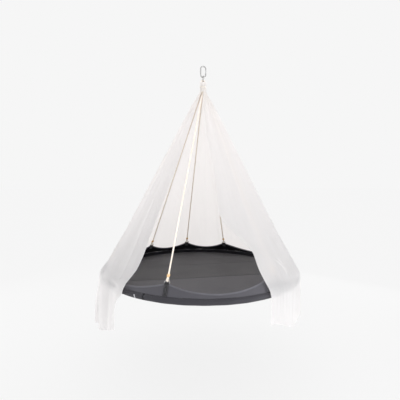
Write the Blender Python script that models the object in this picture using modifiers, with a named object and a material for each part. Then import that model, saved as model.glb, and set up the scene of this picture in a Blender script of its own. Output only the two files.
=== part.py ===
"""Tipi hammock: a round cloth bed on a pole ring, hung by seven ropes under a white cloth canopy.

Units are metres, +Z is up. The origin is the hang point, the top of the snap hook's inner bow.
The entrance faces -Y. A bearing is measured round the Z axis from the entrance, positive towards +X.
Heights called "height" are above the bed's underside, and the bed's underside is BED_DROP below the origin.
"""
import math

import bmesh
import bpy
import numpy as np
from mathutils import Matrix, Vector

for old in list(bpy.data.objects):
    bpy.data.objects.remove(old, do_unlink=True)

# Clearances
GAP = 0.0003
WELD = 0.0001

# Whole object
BED_DROP = 1.597
BED_RADIUS = 0.750

# Bed cloth
HEM_HEIGHT = 0.036
CLOTH = 0.0015
PEAK_HEIGHT = 0.106
PEAK_INSIDE_BED = 0.051
PEAK_RADIUS = BED_RADIUS - PEAK_INSIDE_BED
FLOOR_THICKNESS = 0.0020
FLOOR_SAG = 0.008
FLOOR_TURN_UP = 0.028
FLOOR_DROP = 0.020
FLOOR_FLAT_RADIUS = 0.150
BINDING_WIDTH = 0.010
BINDING_THICKNESS = 0.0036
HEM_SLIT_BEARING = -41.3
HEM_SLIT_WIDTH = 0.010
HEM_ARC_START = 115.0
SCALLOP_FRONT = 0.045
SCALLOP_FRONT_REACH = 0.90
SCALLOP_SIDE = 0.048
SCALLOP_REAR_SIDE = 0.055
SCALLOP_BACK = 0.040

# Pole ring inside the hem
POLE_DIAMETER = 0.025
POLE_WALL = 0.0015
POLE_PLAY = 0.0018
SPIGOT_LENGTH = 0.120
SPIGOT_WALL = 0.0020
POLE_COUNT = 4
POLE_JOINT_BEARING = HEM_SLIT_BEARING
POLE_SIDES = 8
CHORDS_ROUND = 48

# Ropes
ROPE_DIAMETER = 0.011
ROPES = {
    "front_right": 30.0,
    "side_right": 90.0,
    "back_right": 150.0,
    "back_middle": 180.0,
    "back_left": -150.0,
    "side_left": -90.0,
    "front_left": -30.0,
}
ROPE_POINTS = 9
EYE_INNER_RADIUS = 0.0050
RING_PLAY = 0.00075
EYE_SINK = 0.6

# Wooden stops on the ropes
BEAD_DIAMETER = 0.024
BEAD_LENGTH = 0.020
BEAD_BORE_PLAY = 0.0006
BEAD_LAND = 0.0012

# D-rings and their webbing
RING_WIRE = 0.004
RING_INNER_WIDTH = 0.031
RING_SIDE = 0.003
STRAP_WIDTH = 0.030
STRAP_THICKNESS = 0.0018
STRAP_LOOP_PLAY = 0.0005
STRAP_INSIDE_LENGTH = 0.036
STRAP_MARGIN = 0.002
STRAP_FOOT_ABOVE_HEM = 0.002

# Snap hook
HOOK_ROD = 0.010
HOOK_WIDTH = 0.050
HOOK_HEIGHT = 0.092
GATE_DIAMETER = 0.008
GATE_PIVOT_ABOVE_BEND = 0.005
GATE_TIP_GAP = 0.0006
GATE_TONGUE = 0.0040
GATE_BORE = 0.0044
PIN_DIAMETER = 0.003
PIN_PLAY = 0.00015
PLUNGER_LENGTH = 0.008
SPRING_WIRE = 0.0005
SPRING_TURNS = 6
GATE_CAP = 0.0012
PIN_INSET = 0.0004
NOSE_BELOW_BEND = 0.001
FORK_PLAY = 0.0018
TONGUE_OVERLAP = 0.0006
TONGUE_SHARE = 0.96
BORE_FLOOR = 0.0008

# Rigging ring below the hook
RIG_ROD = 0.008
RIG_INNER_RADIUS = 0.017

# Crown, where the ropes are bound together
CROWN_EYE_INNER_RADIUS = 0.0062
BINDING_TWINE = 0.0018
RIG_CENTRE_DROP = HOOK_HEIGHT - 2.0 * HOOK_ROD - GAP + RIG_INNER_RADIUS
CROWN_EYE_DROP = RIG_CENTRE_DROP + RIG_INNER_RADIUS - GAP + CROWN_EYE_INNER_RADIUS
FAN_BELOW_EYE = 0.0834
FAN_HEIGHT = BED_DROP - CROWN_EYE_DROP - FAN_BELOW_EYE
BUNDLE_ABOVE_FAN = 0.058
BUNDLE_HEIGHT = FAN_HEIGHT + BUNDLE_ABOVE_FAN
WHIPPING_TOP_ABOVE_FAN = 0.044
WHIPPING_TOP = FAN_HEIGHT + WHIPPING_TOP_ABOVE_FAN
WHIPPING_FOOT_ABOVE_FAN = 0.002
WHIPPING_FOOT = FAN_HEIGHT + WHIPPING_FOOT_ABOVE_FAN

# Canopy
CANOPY_CLOTH = 0.0012
COLLAR_TOP_ABOVE_FAN = 0.080
COLLAR_TOP = FAN_HEIGHT + COLLAR_TOP_ABOVE_FAN
COLLAR_FOOT_ABOVE_FAN = 0.0085
COLLAR_FOOT = FAN_HEIGHT + COLLAR_FOOT_ABOVE_FAN
COLLAR_WAIST_IN = 0.0010
COLLAR_WAIST_HALF = 0.004
COLLAR_TIE = 0.0035
CONE_FOOT_HEIGHT = 0.330
CONE_OFF_ROPE = 0.0100
STOP_PASS_TOP = 0.215
STOP_PASS_FOOT = 0.168
STOP_PASS_OFF_ROPE = 0.0175
SHOULDER_HEIGHT = 0.059
SHOULDER_INSIDE_BED = 0.002
SHOULDER_RADIUS = BED_RADIUS - SHOULDER_INSIDE_BED
SKIRT_TOP_HEIGHT = 0.018
SKIRT_TOP_OFF_BED = 0.005
SKIRT_TOP_RADIUS = BED_RADIUS + SKIRT_TOP_OFF_BED
SKIRT_WAIST_HEIGHT = -0.050
SKIRT_WAIST_OFF_BED = 0.007
SKIRT_WAIST_RADIUS = BED_RADIUS + SKIRT_WAIST_OFF_BED
SKIRT_END_HEIGHT = -0.300
SKIRT_END_OFF_BED = 0.012
SKIRT_END_RADIUS = BED_RADIUS + SKIRT_END_OFF_BED
SKIRT_LEFT_OUT = 0.016
FOLD_COUNT = 18
FOLD_PHASE = 0.4
FOLD_ON_CONE = 0.008
FOLD_ON_SKIRT = 0.014
FOLD_LEFT_MORE = 0.008
FOLD_FADE = 0.10
SKIRT_FOOT_RIGHT = -0.258
SKIRT_FOOT_LEFT = -0.330
RIGHT_CORNER_RISE = 0.090
LEFT_CORNER_RISE = 0.087
LEFT_SEAM_RISE = 0.068
LEFT_STEP_FROM = 0.38
LEFT_STEP_WIDTH = 0.10
SEAM_BEARING = 100.0
FRONT_SEAM_BEARING = 50.0
BACK_PANELS = ("canopy_back_right", "canopy_back_middle", "canopy_back_left")
PANEL_GAP = 0.0008
LEFT_EDGE_TOP = -46.0
LEFT_EDGE_LEAN = 3.5
LEFT_EDGE_LEAN_FROM = 1.10
LEFT_EDGE_LEAN_FALL = 0.80
LEFT_EDGE_SWEEP = 6.0
LEFT_EDGE_SWEEP_FROM = 0.32
LEFT_EDGE_SWEEP_FALL = 0.25
LEFT_EDGE_FLARE = 2.7
LEFT_EDGE_FLARE_FROM = 0.015
LEFT_EDGE_FLARE_FALL = 0.060
RIGHT_EDGE_TOP = -6.0
RIGHT_EDGE_LEAN = 7.0
RIGHT_EDGE_LEAN_FROM = 1.25
RIGHT_EDGE_LEAN_FALL = 0.45
RIGHT_EDGE_SWEEP = 19.0
RIGHT_EDGE_SWEEP_FROM = 0.54
RIGHT_EDGE_SWEEP_FALL = 0.28
RIGHT_EDGE_FLARE = 3.0
RIGHT_EDGE_FLARE_FALL = 0.22

bed_z = -BED_DROP
pole_radius = POLE_DIAMETER / 2
hem_radius = pole_radius + POLE_PLAY + CLOTH / 2
pole_ring_radius = BED_RADIUS - hem_radius - CLOTH / 2
pole_z = bed_z + hem_radius + CLOTH / 2
hem_top_z = bed_z + HEM_HEIGHT
peak_z = bed_z + PEAK_HEIGHT
rope_radius = ROPE_DIAMETER / 2
hem_neck = CLOTH / 2 + GAP
hem_centre = hem_radius + CLOTH / 2
hem_shoulder_x = -hem_radius * math.cos(math.radians(HEM_ARC_START))
hem_shoulder_height = hem_centre + hem_radius * math.sin(math.radians(HEM_ARC_START))
hem_slope = (hem_shoulder_x - hem_neck) / (HEM_HEIGHT - hem_shoulder_height)
hem_tilt = hem_slope / math.hypot(1.0, hem_slope)

parts = bpy.data.collections.new("tipi_hammock")
cutters = bpy.data.collections.new("cutters")
bpy.context.scene.collection.children.link(parts)
bpy.context.scene.collection.children.link(cutters)


def make_material(name, colour, roughness, metallic=0.0):
    """A Principled material of one colour, roughness and metallic value."""
    material = bpy.data.materials.new(name)
    material.use_nodes = True
    shader = material.node_tree.nodes["Principled BSDF"]
    shader.inputs["Base Color"].default_value = (*colour, 1.0)
    shader.inputs["Roughness"].default_value = roughness
    shader.inputs["Metallic"].default_value = metallic
    return material


CHARCOAL = ((0.085, 0.085, 0.095), 0.9)
WHITE_CLOTH = ((0.90, 0.89, 0.88), 0.9)
WHITE_ROPE = ((0.86, 0.84, 0.80), 0.85)
BLACK_WEBBING = ((0.02, 0.02, 0.022), 0.8)
STEEL = ((0.62, 0.62, 0.61), 0.28, 1.0)
ALUMINIUM = ((0.72, 0.73, 0.74), 0.35, 1.0)
BEECH = ((0.62, 0.42, 0.22), 0.55)


def finish(obj, looks, smooth=True):
    """Gives an object its own material and, where it is round, smooth shading with sharp edges kept."""
    obj.data.materials.clear()
    obj.data.materials.append(make_material(obj.name, *looks))
    if smooth and obj.type == "MESH":
        obj.data.shade_smooth()
        obj.data.set_sharp_from_angle(angle=math.radians(35))
    return obj


def link(name, data, collection=parts):
    obj = bpy.data.objects.new(name, data)
    collection.objects.link(obj)
    return obj


def as_cutter(obj):
    obj.hide_render = True
    obj.display_type = "WIRE"
    return obj


def around(bearing, radius, z):
    """The point at a bearing in degrees, a distance from the Z axis and a height."""
    turn = math.radians(bearing)
    return Vector((radius * math.sin(turn), -radius * math.cos(turn), z))


def outward(bearing):
    return around(bearing, 1.0, 0.0)


def tangent(bearing):
    return around(bearing + 90.0, 1.0, 0.0)


def mapped_sheet(name, across, along, place, closed=False):
    """A grid whose corner (u, v), each from 0 to 1, is moved to place(u, v); closed joins u = 0 to u = 1."""
    mesh = bpy.data.meshes.new(name)
    form = bmesh.new()
    bmesh.ops.create_grid(form, x_segments=across, y_segments=along, size=0.5)
    for vert in form.verts:
        vert.co = Vector(place(vert.co.x + 0.5, vert.co.y + 0.5))
    if closed:
        bmesh.ops.remove_doubles(form, verts=form.verts, dist=WELD)
    form.normal_update()
    form.to_mesh(mesh)
    form.free()
    return link(name, mesh)


def thicken(obj, thickness, offset=0.0):
    """Gives an open surface its thickness; offset 0 keeps it in the middle."""
    wall = obj.modifiers.new("thickness", "SOLIDIFY")
    wall.thickness = thickness
    wall.offset = offset
    wall.use_even_offset = True
    return obj


def tube(name, points, radius, collection=parts, resolution=2, closed=False):
    """A round bar or rope along points, with filled ends."""
    curve = bpy.data.curves.new(name, "CURVE")
    curve.dimensions = "3D"
    curve.bevel_depth = radius
    curve.bevel_resolution = resolution
    curve.use_fill_caps = not closed
    spline = curve.splines.new("POLY")
    spline.points.add(len(points) - 1)
    for slot, point in zip(spline.points, points):
        slot.co = (*point, 1.0)
    spline.use_cyclic_u = closed
    return link(name, curve, collection)


def mesh_from_curve(obj):
    """The curve's tube as a closed mesh object in its place."""
    depsgraph = bpy.context.evaluated_depsgraph_get()
    mesh = bpy.data.meshes.new_from_object(obj.evaluated_get(depsgraph))
    form = bmesh.new()
    form.from_mesh(mesh)
    bmesh.ops.remove_doubles(form, verts=form.verts, dist=WELD / 10)
    form.to_mesh(mesh)
    form.free()
    name = obj.name
    place = obj.matrix_world.copy()
    collection = obj.users_collection[0]
    curve = obj.data
    bpy.data.objects.remove(obj)
    bpy.data.curves.remove(curve)
    solid = link(name, mesh, collection)
    solid.matrix_world = place
    return solid


def turned(name, profile, steps, collection=parts, closed_profile=False):
    """A profile of (radius, z) points, top to bottom down the outer side, turned about local Z."""
    mesh = bpy.data.meshes.new(name)
    form = bmesh.new()
    verts = [form.verts.new((radius, 0.0, z)) for radius, z in profile]
    pairs = list(zip(verts, verts[1:]))
    if closed_profile:
        pairs.append((verts[-1], verts[0]))
    for pair in pairs:
        form.edges.new(pair)
    form.to_mesh(mesh)
    form.free()
    obj = link(name, mesh, collection)
    spin = obj.modifiers.new("turn", "SCREW")
    spin.steps = steps
    spin.render_steps = steps
    spin.use_merge_vertices = True
    spin.merge_threshold = WELD / 10
    return obj


def combine(obj, other, operation):
    """Joins or cuts obj by other, which becomes a hidden cutter."""
    step = obj.modifiers.new(operation.lower(), "BOOLEAN")
    step.operation = operation
    step.solver = "EXACT"
    step.object = as_cutter(other)
    return obj


def torus_object(name, major, minor, major_segments, minor_segments, place, collection):
    """A ring of round bar about the local Z axis of place."""
    bpy.ops.mesh.primitive_torus_add(
        major_radius=major,
        minor_radius=minor,
        major_segments=major_segments,
        minor_segments=minor_segments,
    )
    obj = bpy.context.active_object
    obj.name = name
    obj.data.name = name
    for holder in list(obj.users_collection):
        holder.objects.unlink(obj)
    collection.objects.link(obj)
    obj.matrix_world = place
    return obj


def frame_at(origin, x_axis, z_axis):
    """The matrix of a local frame whose Z and X axes point along the given directions."""
    z_dir = z_axis.normalized()
    x_dir = (x_axis - x_axis.dot(z_dir) * z_dir).normalized()
    y_dir = z_dir.cross(x_dir)
    turn = Matrix((x_dir, y_dir, z_dir)).transposed().to_4x4()
    return Matrix.Translation(origin) @ turn


# Wall of the bed: a band that leans in, square-topped at each rope and scalloped between

scallops = {
    (-150.0, -90.0): SCALLOP_REAR_SIDE,
    (-90.0, -30.0): SCALLOP_SIDE,
    (-30.0, 30.0): SCALLOP_FRONT,
    (30.0, 90.0): SCALLOP_SIDE,
    (90.0, 150.0): SCALLOP_REAR_SIDE,
    (150.0, 180.0): SCALLOP_BACK,
    (180.0, 210.0): SCALLOP_BACK,
}
scallop_reach = {(-30.0, 30.0): SCALLOP_FRONT_REACH}
peak_half = math.degrees((STRAP_WIDTH / 2 + STRAP_MARGIN) / PEAK_RADIUS)
wall_slope = (PEAK_RADIUS - pole_ring_radius) / (PEAK_HEIGHT - HEM_HEIGHT)
lean_in = math.atan2(-wall_slope, 1.0)
wall_foot = HEM_HEIGHT + GAP + CLOTH / 2 * (math.sin(lean_in) + hem_tilt)


def wall_radius(height):
    """Radius of the wall's middle at a height: a straight lean from the hem to the peaks."""
    return pole_ring_radius + wall_slope * (height - HEM_HEIGHT)


def scallop_height(share, dip):
    """Height of the wall's edge between two peaks: a parabola that hangs dip below them."""
    return PEAK_HEIGHT - dip * 4.0 * share * (1.0 - share)


def wall_stations():
    """(bearing, edge height) round the wall, both ends of each square peak included. A scallop with a reach is
    back at its peak's height at that share of its way."""
    stations = []
    for (start, end), dip in scallops.items():
        reach = scallop_reach.get((start, end), 1.0)
        low, high = start + peak_half, end - peak_half
        pieces = 8 if end - start > 45.0 else 5
        for step in range(pieces + 1):
            share = step / pieces
            stations.append((low + share * (high - low), scallop_height(min(1.0, share / reach), dip)))
    return stations


stations = wall_stations()


def wall_place(u, v):
    """u runs round the wall from station to station, v up it from the hem to the edge."""
    index = round(u * len(stations)) % len(stations)
    bearing, edge = stations[index]
    height = wall_foot + v * (edge - wall_foot)
    return around(bearing, wall_radius(height), bed_z + height)


def build_wall():
    wall = mapped_sheet("bed_wall", len(stations), 2, wall_place, closed=True)
    return finish(thicken(wall, CLOTH), CHARCOAL)


def build_binding():
    """A tape folded over the wall's edge: a hairpin section swept along the scallops."""
    tape_thickness = (BINDING_THICKNESS - CLOTH) / 2 - GAP
    half = CLOTH / 2 + GAP + tape_thickness / 2
    lean = Vector((wall_slope, 1.0)).normalized()
    side = Vector((lean.y, -lean.x))
    top = 2.0 * GAP + tape_thickness / 2
    section = [(half, -BINDING_WIDTH), (half, top), (-half, top), (-half, -BINDING_WIDTH)]

    def place(u, v):
        index = round(u * len(stations)) % len(stations)
        bearing, edge = stations[index]
        across, up = section[round(v * (len(section) - 1))]
        at = Vector((wall_radius(edge), edge)) + side * across + lean * up
        return around(bearing, at.x, bed_z + at.y)

    tape = mapped_sheet("edge_binding", len(stations), len(section) - 1, place, closed=True)
    return finish(thicken(tape, tape_thickness), CHARCOAL)


# Hem and the pole ring in it, laid on the same chords from the slit round

chord_turn = 360.0 / CHORDS_ROUND


def ring_radius_at(bearing, radius):
    """Radius at a bearing of the many-sided ring whose corners lie at that radius."""
    past = (bearing - HEM_SLIT_BEARING) % chord_turn - chord_turn / 2
    return radius * math.cos(math.radians(chord_turn / 2)) / math.cos(math.radians(past))


def build_hem():
    """The pole's sleeve: a tube of cloth pinched together on top, open at one slit for the poles."""
    arc = [math.radians(turn) for turn in np.linspace(HEM_ARC_START, 540.0 - HEM_ARC_START, 7)]
    section = [(-hem_neck, HEM_HEIGHT)]
    section += [(hem_radius * math.cos(turn), hem_centre + hem_radius * math.sin(turn)) for turn in arc]
    section += [(hem_neck, HEM_HEIGHT)]
    half_slit = math.degrees(HEM_SLIT_WIDTH / 2 / BED_RADIUS)

    def place(u, v):
        across, height = section[round(v * (len(section) - 1))]
        past = min(max(u * 360.0, half_slit), 360.0 - half_slit)
        bearing = HEM_SLIT_BEARING + past
        return around(bearing, ring_radius_at(bearing, pole_ring_radius + across), bed_z + height)

    hem = mapped_sheet("hem_sleeve", CHORDS_ROUND, len(section) - 1, place)
    return finish(thicken(hem, CLOTH), CHARCOAL)


def bent_tube(name, start, sweep, radius, wall, steps, looks):
    """A tube bent to the ring's radius, from one bearing through a sweep."""

    def place(u, v):
        turn = 2.0 * math.pi * v
        bearing = start + u * sweep
        corner = ring_radius_at(bearing, pole_ring_radius + radius * math.cos(turn))
        return around(bearing, corner, pole_z + radius * math.sin(turn))

    pipe = mapped_sheet(name, steps, POLE_SIDES, place, closed=True)
    return finish(thicken(pipe, wall, offset=-1.0), looks)


def build_poles():
    """Four bent poles end to end, and a spigot inside each joint."""
    sweep = 360.0 / POLE_COUNT
    cut = math.degrees(GAP / pole_ring_radius)
    spigot_sweep = math.degrees(SPIGOT_LENGTH / pole_ring_radius)
    spigot_radius = pole_radius - POLE_WALL - GAP
    for index in range(POLE_COUNT):
        start = POLE_JOINT_BEARING + index * sweep
        steps = CHORDS_ROUND // POLE_COUNT
        bent_tube(f"pole_{index + 1}", start + cut / 2, sweep - cut, pole_radius, POLE_WALL, steps, ALUMINIUM)
        bent_tube(
            f"pole_spigot_{index + 1}",
            start - spigot_sweep / 2,
            spigot_sweep,
            spigot_radius,
            SPIGOT_WALL,
            2,
            STEEL,
        )


# Floor

def build_floor():
    """A turned disc of cloth, flat in the middle, whose edge turns up to the hem's neck."""
    rim_height = HEM_HEIGHT - FLOOR_THICKNESS
    half = FLOOR_THICKNESS / 2
    hem_inside = hem_neck + hem_slope * 2.0 * FLOOR_THICKNESS + CLOTH / 2 * math.hypot(1.0, hem_slope)
    rim = pole_ring_radius - hem_inside - GAP
    low_rim = rim - FLOOR_TURN_UP
    shares = np.linspace(0.0, 1.0, 3)
    line = []
    for share in shares:
        radius = FLOOR_FLAT_RADIUS + share * (low_rim - FLOOR_FLAT_RADIUS)
        drop = FLOOR_DROP + FLOOR_SAG * (1.0 - share**2)
        line.append((radius, bed_z + rim_height - half - drop))
    line.append((rim, bed_z + rim_height - half))
    flat_z = line[0][1]
    upper = [(0.0, flat_z + half)] + [(radius, z + half) for radius, z in line]
    lower = [(radius, z - half) for radius, z in reversed(line)] + [(0.0, flat_z - half)]
    floor = turned("bed_floor", upper + lower, CHORDS_ROUND)
    floor.rotation_euler.z = math.radians(HEM_SLIT_BEARING)
    return finish(floor, CHARCOAL)


# Where each rope meets the bed: webbing, D-ring, eye and wooden stop

bar_above_peak = CLOTH / 2 + BINDING_THICKNESS / 2 + GAP + RING_WIRE / 2 + STRAP_LOOP_PLAY
loop_radius = RING_WIRE / 2 + STRAP_LOOP_PLAY + STRAP_THICKNESS / 2
bar_radius_from_axis = PEAK_RADIUS - bar_above_peak * math.sin(lean_in)
bar_z = peak_z + bar_above_peak * math.cos(lean_in)
bundle_radius = (ROPE_DIAMETER + GAP) / 2 / math.sin(math.pi / len(ROPES))
fan_z = bed_z + FAN_HEIGHT
ring_half = (RING_INNER_WIDTH + RING_WIRE) / 2
ring_bow = RING_SIDE + ring_half
rope_seat = ring_bow - RING_WIRE / 2 - RING_PLAY - rope_radius
eye_centre = rope_seat + EYE_INNER_RADIUS + rope_radius
bead_bore = rope_radius + BEAD_BORE_PLAY
bead_foot = eye_centre + math.sqrt((EYE_INNER_RADIUS + ROPE_DIAMETER) ** 2 - bead_bore**2) + 2.0 * GAP


def bundle_bearing(bearing):
    """Bearing of a rope in the bundle, where the seven lie evenly round the crown's core."""
    order = sorted(ROPES.values(), key=lambda turn: turn % 360.0)
    place = order.index(bearing)
    middle = order.index(180.0)
    return 180.0 + (place - middle) * 360.0 / len(order)


def rope_line(bearing):
    """(foot, direction, length) of a rope's straight run, from its D-ring's bar to the bundle."""
    foot = around(bearing, bar_radius_from_axis, bar_z)
    head = around(bundle_bearing(bearing), bundle_radius, fan_z)
    return foot, (head - foot).normalized(), (head - foot).length


def build_strap(side, bearing):
    """Webbing folded over the wall's edge and round the D-ring's bar, long leg outside, short leg inside."""
    lean = Vector((-math.sin(lean_in), math.cos(lean_in)))
    outer = Vector((lean.y, -lean.x))
    bar = Vector((bar_radius_from_axis, bar_z))
    long_leg = (bar_z - hem_top_z - STRAP_FOOT_ABOVE_HEM) / lean.y
    short_leg = STRAP_INSIDE_LENGTH
    path = [bar + outer * loop_radius - lean * long_leg]
    path += [bar + outer * loop_radius - lean * long_leg / 2]
    for turn in np.linspace(0.0, math.pi, 7):
        path.append(bar + outer * loop_radius * math.cos(turn) + lean * loop_radius * math.sin(turn))
    path.append(bar - outer * loop_radius - lean * short_leg)
    wide = tangent(bearing) * STRAP_WIDTH

    def place(u, v):
        at = path[round(u * (len(path) - 1))]
        return around(bearing, at.x, at.y) + wide * (v - 0.5)

    strap = mapped_sheet(f"strap_{side}", len(path) - 1, 1, place)
    return finish(thicken(strap, STRAP_THICKNESS), BLACK_WEBBING)


def build_ring(side, bearing):
    """A D-ring: a straight bar in the webbing's fold, and a bow above it along the rope's line."""
    foot, along, _ = rope_line(bearing)
    across = tangent(bearing)
    along = (along - along.dot(across) * across).normalized()
    path = [(-ring_half, 0.0)]
    path += [(-ring_half / 3, 0.0), (ring_half / 3, 0.0), (ring_half, 0.0)]
    for turn in np.linspace(0.0, math.pi, 9):
        path.append((ring_half * math.cos(turn), RING_SIDE + ring_half * math.sin(turn)))
    points = [across * x + along * y for x, y in path]
    wire = tube(f"d_ring_{side}", points, RING_WIRE / 2, resolution=1, closed=True)
    wire.matrix_world = Matrix.Translation(foot)
    return finish(mesh_from_curve(wire), STEEL)


def build_rope(side, bearing):
    """A rope: bound in the crown, straight to its D-ring, and closed there in a spliced eye."""
    foot, along, length = rope_line(bearing)
    top = around(bundle_bearing(bearing), bundle_radius, bed_z + BUNDLE_HEIGHT)
    middle = around(bundle_bearing(bearing), bundle_radius, fan_z + (BUNDLE_HEIGHT - FAN_HEIGHT) / 2)
    start = eye_centre + EYE_INNER_RADIUS + rope_radius * EYE_SINK
    shares = np.linspace(0.0, 1.0, ROPE_POINTS - 2)
    run = [foot + along * (start + share * (length - start)) for share in shares]
    rope = mesh_from_curve(tube(f"rope_{side}", run + [middle, top], rope_radius))
    across = tangent(bearing)
    eye = torus_object(
        f"eye_of_{side}",
        EYE_INNER_RADIUS + rope_radius,
        rope_radius,
        10,
        8,
        frame_at(foot + along * eye_centre, along, across),
        cutters,
    )
    return finish(combine(rope, eye, "UNION"), WHITE_ROPE)


def bead_profile():
    """A round bead with a bore, turned about its own axis, its centre at the local origin."""
    outer = BEAD_DIAMETER / 2
    half = BEAD_LENGTH / 2
    flat = bead_bore + BEAD_LAND
    top = math.acos(flat / outer)
    profile = []
    for turn in np.linspace(top, -top, 5):
        profile.append((outer * math.cos(turn), half * math.sin(turn) / math.sin(top)))
    profile += [(bead_bore, -half), (bead_bore, half)]
    return profile


def build_bead(side, bearing):
    foot, along, _ = rope_line(bearing)
    bead = turned(f"stop_{side}", bead_profile(), 12, closed_profile=True)
    bead.matrix_world = frame_at(foot + along * (bead_foot + BEAD_LENGTH / 2), outward(bearing), along)
    return finish(bead, BEECH)


# Crown: the core rope with its eye, and the twine that binds the ropes to it

rig_centre_z = -RIG_CENTRE_DROP
rig_low_z = rig_centre_z - RIG_INNER_RADIUS - RIG_ROD / 2
crown_eye_z = -CROWN_EYE_DROP
crown_core_foot = bed_z + FAN_HEIGHT
whipping_radius = bundle_radius + rope_radius + GAP + BINDING_TWINE
collar_radius = whipping_radius + GAP + CANOPY_CLOTH + COLLAR_WAIST_IN


def build_crown():
    top = crown_eye_z - CROWN_EYE_INNER_RADIUS - rope_radius * EYE_SINK
    points = [Vector((0.0, 0.0, top + share * (crown_core_foot - top))) for share in np.linspace(0.0, 1.0, 4)]
    core = mesh_from_curve(tube("crown_core", points, bundle_radius - rope_radius - GAP))
    eye = torus_object(
        "eye_of_crown",
        CROWN_EYE_INNER_RADIUS + rope_radius,
        rope_radius,
        16,
        8,
        frame_at(Vector((0.0, 0.0, crown_eye_z)), Vector((1.0, 0.0, 0.0)), Vector((0.0, 1.0, 0.0))),
        cutters,
    )
    return finish(combine(core, eye, "UNION"), WHITE_ROPE)


def build_whipping():
    """The twine band round the bundle, a turned sleeve with rounded ends."""
    inner = whipping_radius - BINDING_TWINE
    outer = whipping_radius
    high, low = bed_z + WHIPPING_TOP, bed_z + WHIPPING_FOOT
    edge = BINDING_TWINE / 2
    profile = [
        (inner + edge, high),
        (outer, high - edge),
        (outer, low + edge),
        (inner + edge, low),
        (inner, low + edge),
        (inner, high - edge),
    ]
    return finish(turned("whipping", profile, 20, closed_profile=True), WHITE_ROPE)


# Hook, gate and rigging ring

hook_half = (HOOK_WIDTH - HOOK_ROD) / 2
hook_rod = HOOK_ROD / 2
top_bend_z = hook_rod - hook_half
low_bend_z = hook_rod - (HOOK_HEIGHT - HOOK_ROD) + hook_half
pivot_z = low_bend_z + GATE_PIVOT_ABOVE_BEND
gate_radius = GATE_DIAMETER / 2
nose_z = top_bend_z - NOSE_BELOW_BEND
gate_tip_z = nose_z - GATE_TIP_GAP
tongue_reach = gate_radius
gate_foot_z = pivot_z + tongue_reach + FORK_PLAY


def cube(name, size, centre, collection=cutters):
    """A box of the given size about a centre."""
    mesh = bpy.data.meshes.new(name)
    form = bmesh.new()
    bmesh.ops.create_cube(form, size=1.0)
    bmesh.ops.scale(form, vec=size, verts=form.verts)
    bmesh.ops.translate(form, vec=centre, verts=form.verts)
    form.to_mesh(mesh)
    form.free()
    return link(name, mesh, collection)


def rod_between(name, start, end, radius, sides=16, collection=cutters):
    """A straight round rod from start to end, its ends flat."""
    mesh = bpy.data.meshes.new(name)
    form = bmesh.new()
    bmesh.ops.create_cone(
        form,
        cap_ends=True,
        segments=sides,
        radius1=radius,
        radius2=radius,
        depth=(end - start).length,
    )
    form.to_mesh(mesh)
    form.free()
    obj = link(name, mesh, collection)
    side = Vector((0.0, 1.0, 0.0)) if abs((end - start).normalized().y) < 0.9 else Vector((1.0, 0.0, 0.0))
    obj.matrix_world = frame_at((start + end) / 2, side, end - start)
    return obj


def build_hook():
    """The hook's body: round bar from the gate's fork, round the low bend, up the back and over to the nose."""
    path = [(hook_half, pivot_z + tongue_reach), (hook_half, low_bend_z)]
    for turn in np.linspace(0.0, math.pi, 13)[1:]:
        path.append((hook_half * math.cos(turn), low_bend_z - hook_half * math.sin(turn)))
    path.append((-hook_half, top_bend_z))
    for turn in np.linspace(math.pi, 0.0, 13)[1:]:
        path.append((hook_half * math.cos(turn), top_bend_z + hook_half * math.sin(turn)))
    path.append((hook_half, nose_z))
    points = [Vector((x, 0.0, z)) for x, z in path]
    body = mesh_from_curve(tube("hook_body", points, hook_rod, resolution=3))
    slot_depth = 2.0 * tongue_reach + FORK_PLAY
    slot = cube(
        "fork_slot",
        (HOOK_ROD * 2.0, GATE_TONGUE + 2.0 * GAP, slot_depth * 2.0),
        Vector((hook_half, 0.0, pivot_z + slot_depth - tongue_reach - FORK_PLAY)),
    )
    hole = rod_between(
        "fork_hole",
        Vector((hook_half, -HOOK_ROD, pivot_z)),
        Vector((hook_half, HOOK_ROD, pivot_z)),
        PIN_DIAMETER / 2 + PIN_PLAY,
    )
    combine(body, slot, "DIFFERENCE")
    combine(body, hole, "DIFFERENCE")
    return finish(body, STEEL)


def build_gate():
    """The gate: a bored rod with a flat tongue that fills the fork and turns on the pin."""
    gate = rod_between(
        "hook_gate",
        Vector((hook_half, 0.0, gate_foot_z)),
        Vector((hook_half, 0.0, gate_tip_z)),
        gate_radius,
        16,
        parts,
    )
    tongue = cube(
        "gate_tongue",
        (GATE_DIAMETER * TONGUE_SHARE, GATE_TONGUE, gate_foot_z + TONGUE_OVERLAP - pivot_z),
        Vector((hook_half, 0.0, (gate_foot_z + TONGUE_OVERLAP + pivot_z) / 2)),
    )
    knuckle = rod_between(
        "gate_knuckle",
        Vector((hook_half, -GATE_TONGUE / 2, pivot_z)),
        Vector((hook_half, GATE_TONGUE / 2, pivot_z)),
        tongue_reach,
    )
    hole = rod_between(
        "gate_hole",
        Vector((hook_half, -HOOK_ROD, pivot_z)),
        Vector((hook_half, HOOK_ROD, pivot_z)),
        PIN_DIAMETER / 2 + PIN_PLAY,
    )
    bore = rod_between(
        "gate_bore",
        Vector((hook_half, 0.0, gate_foot_z + BORE_FLOOR)),
        Vector((hook_half, 0.0, gate_tip_z + GATE_BORE)),
        GATE_BORE / 2,
        12,
    )
    combine(gate, tongue, "UNION")
    combine(gate, knuckle, "UNION")
    combine(gate, hole, "DIFFERENCE")
    combine(gate, bore, "DIFFERENCE")
    return finish(gate, STEEL)


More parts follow.
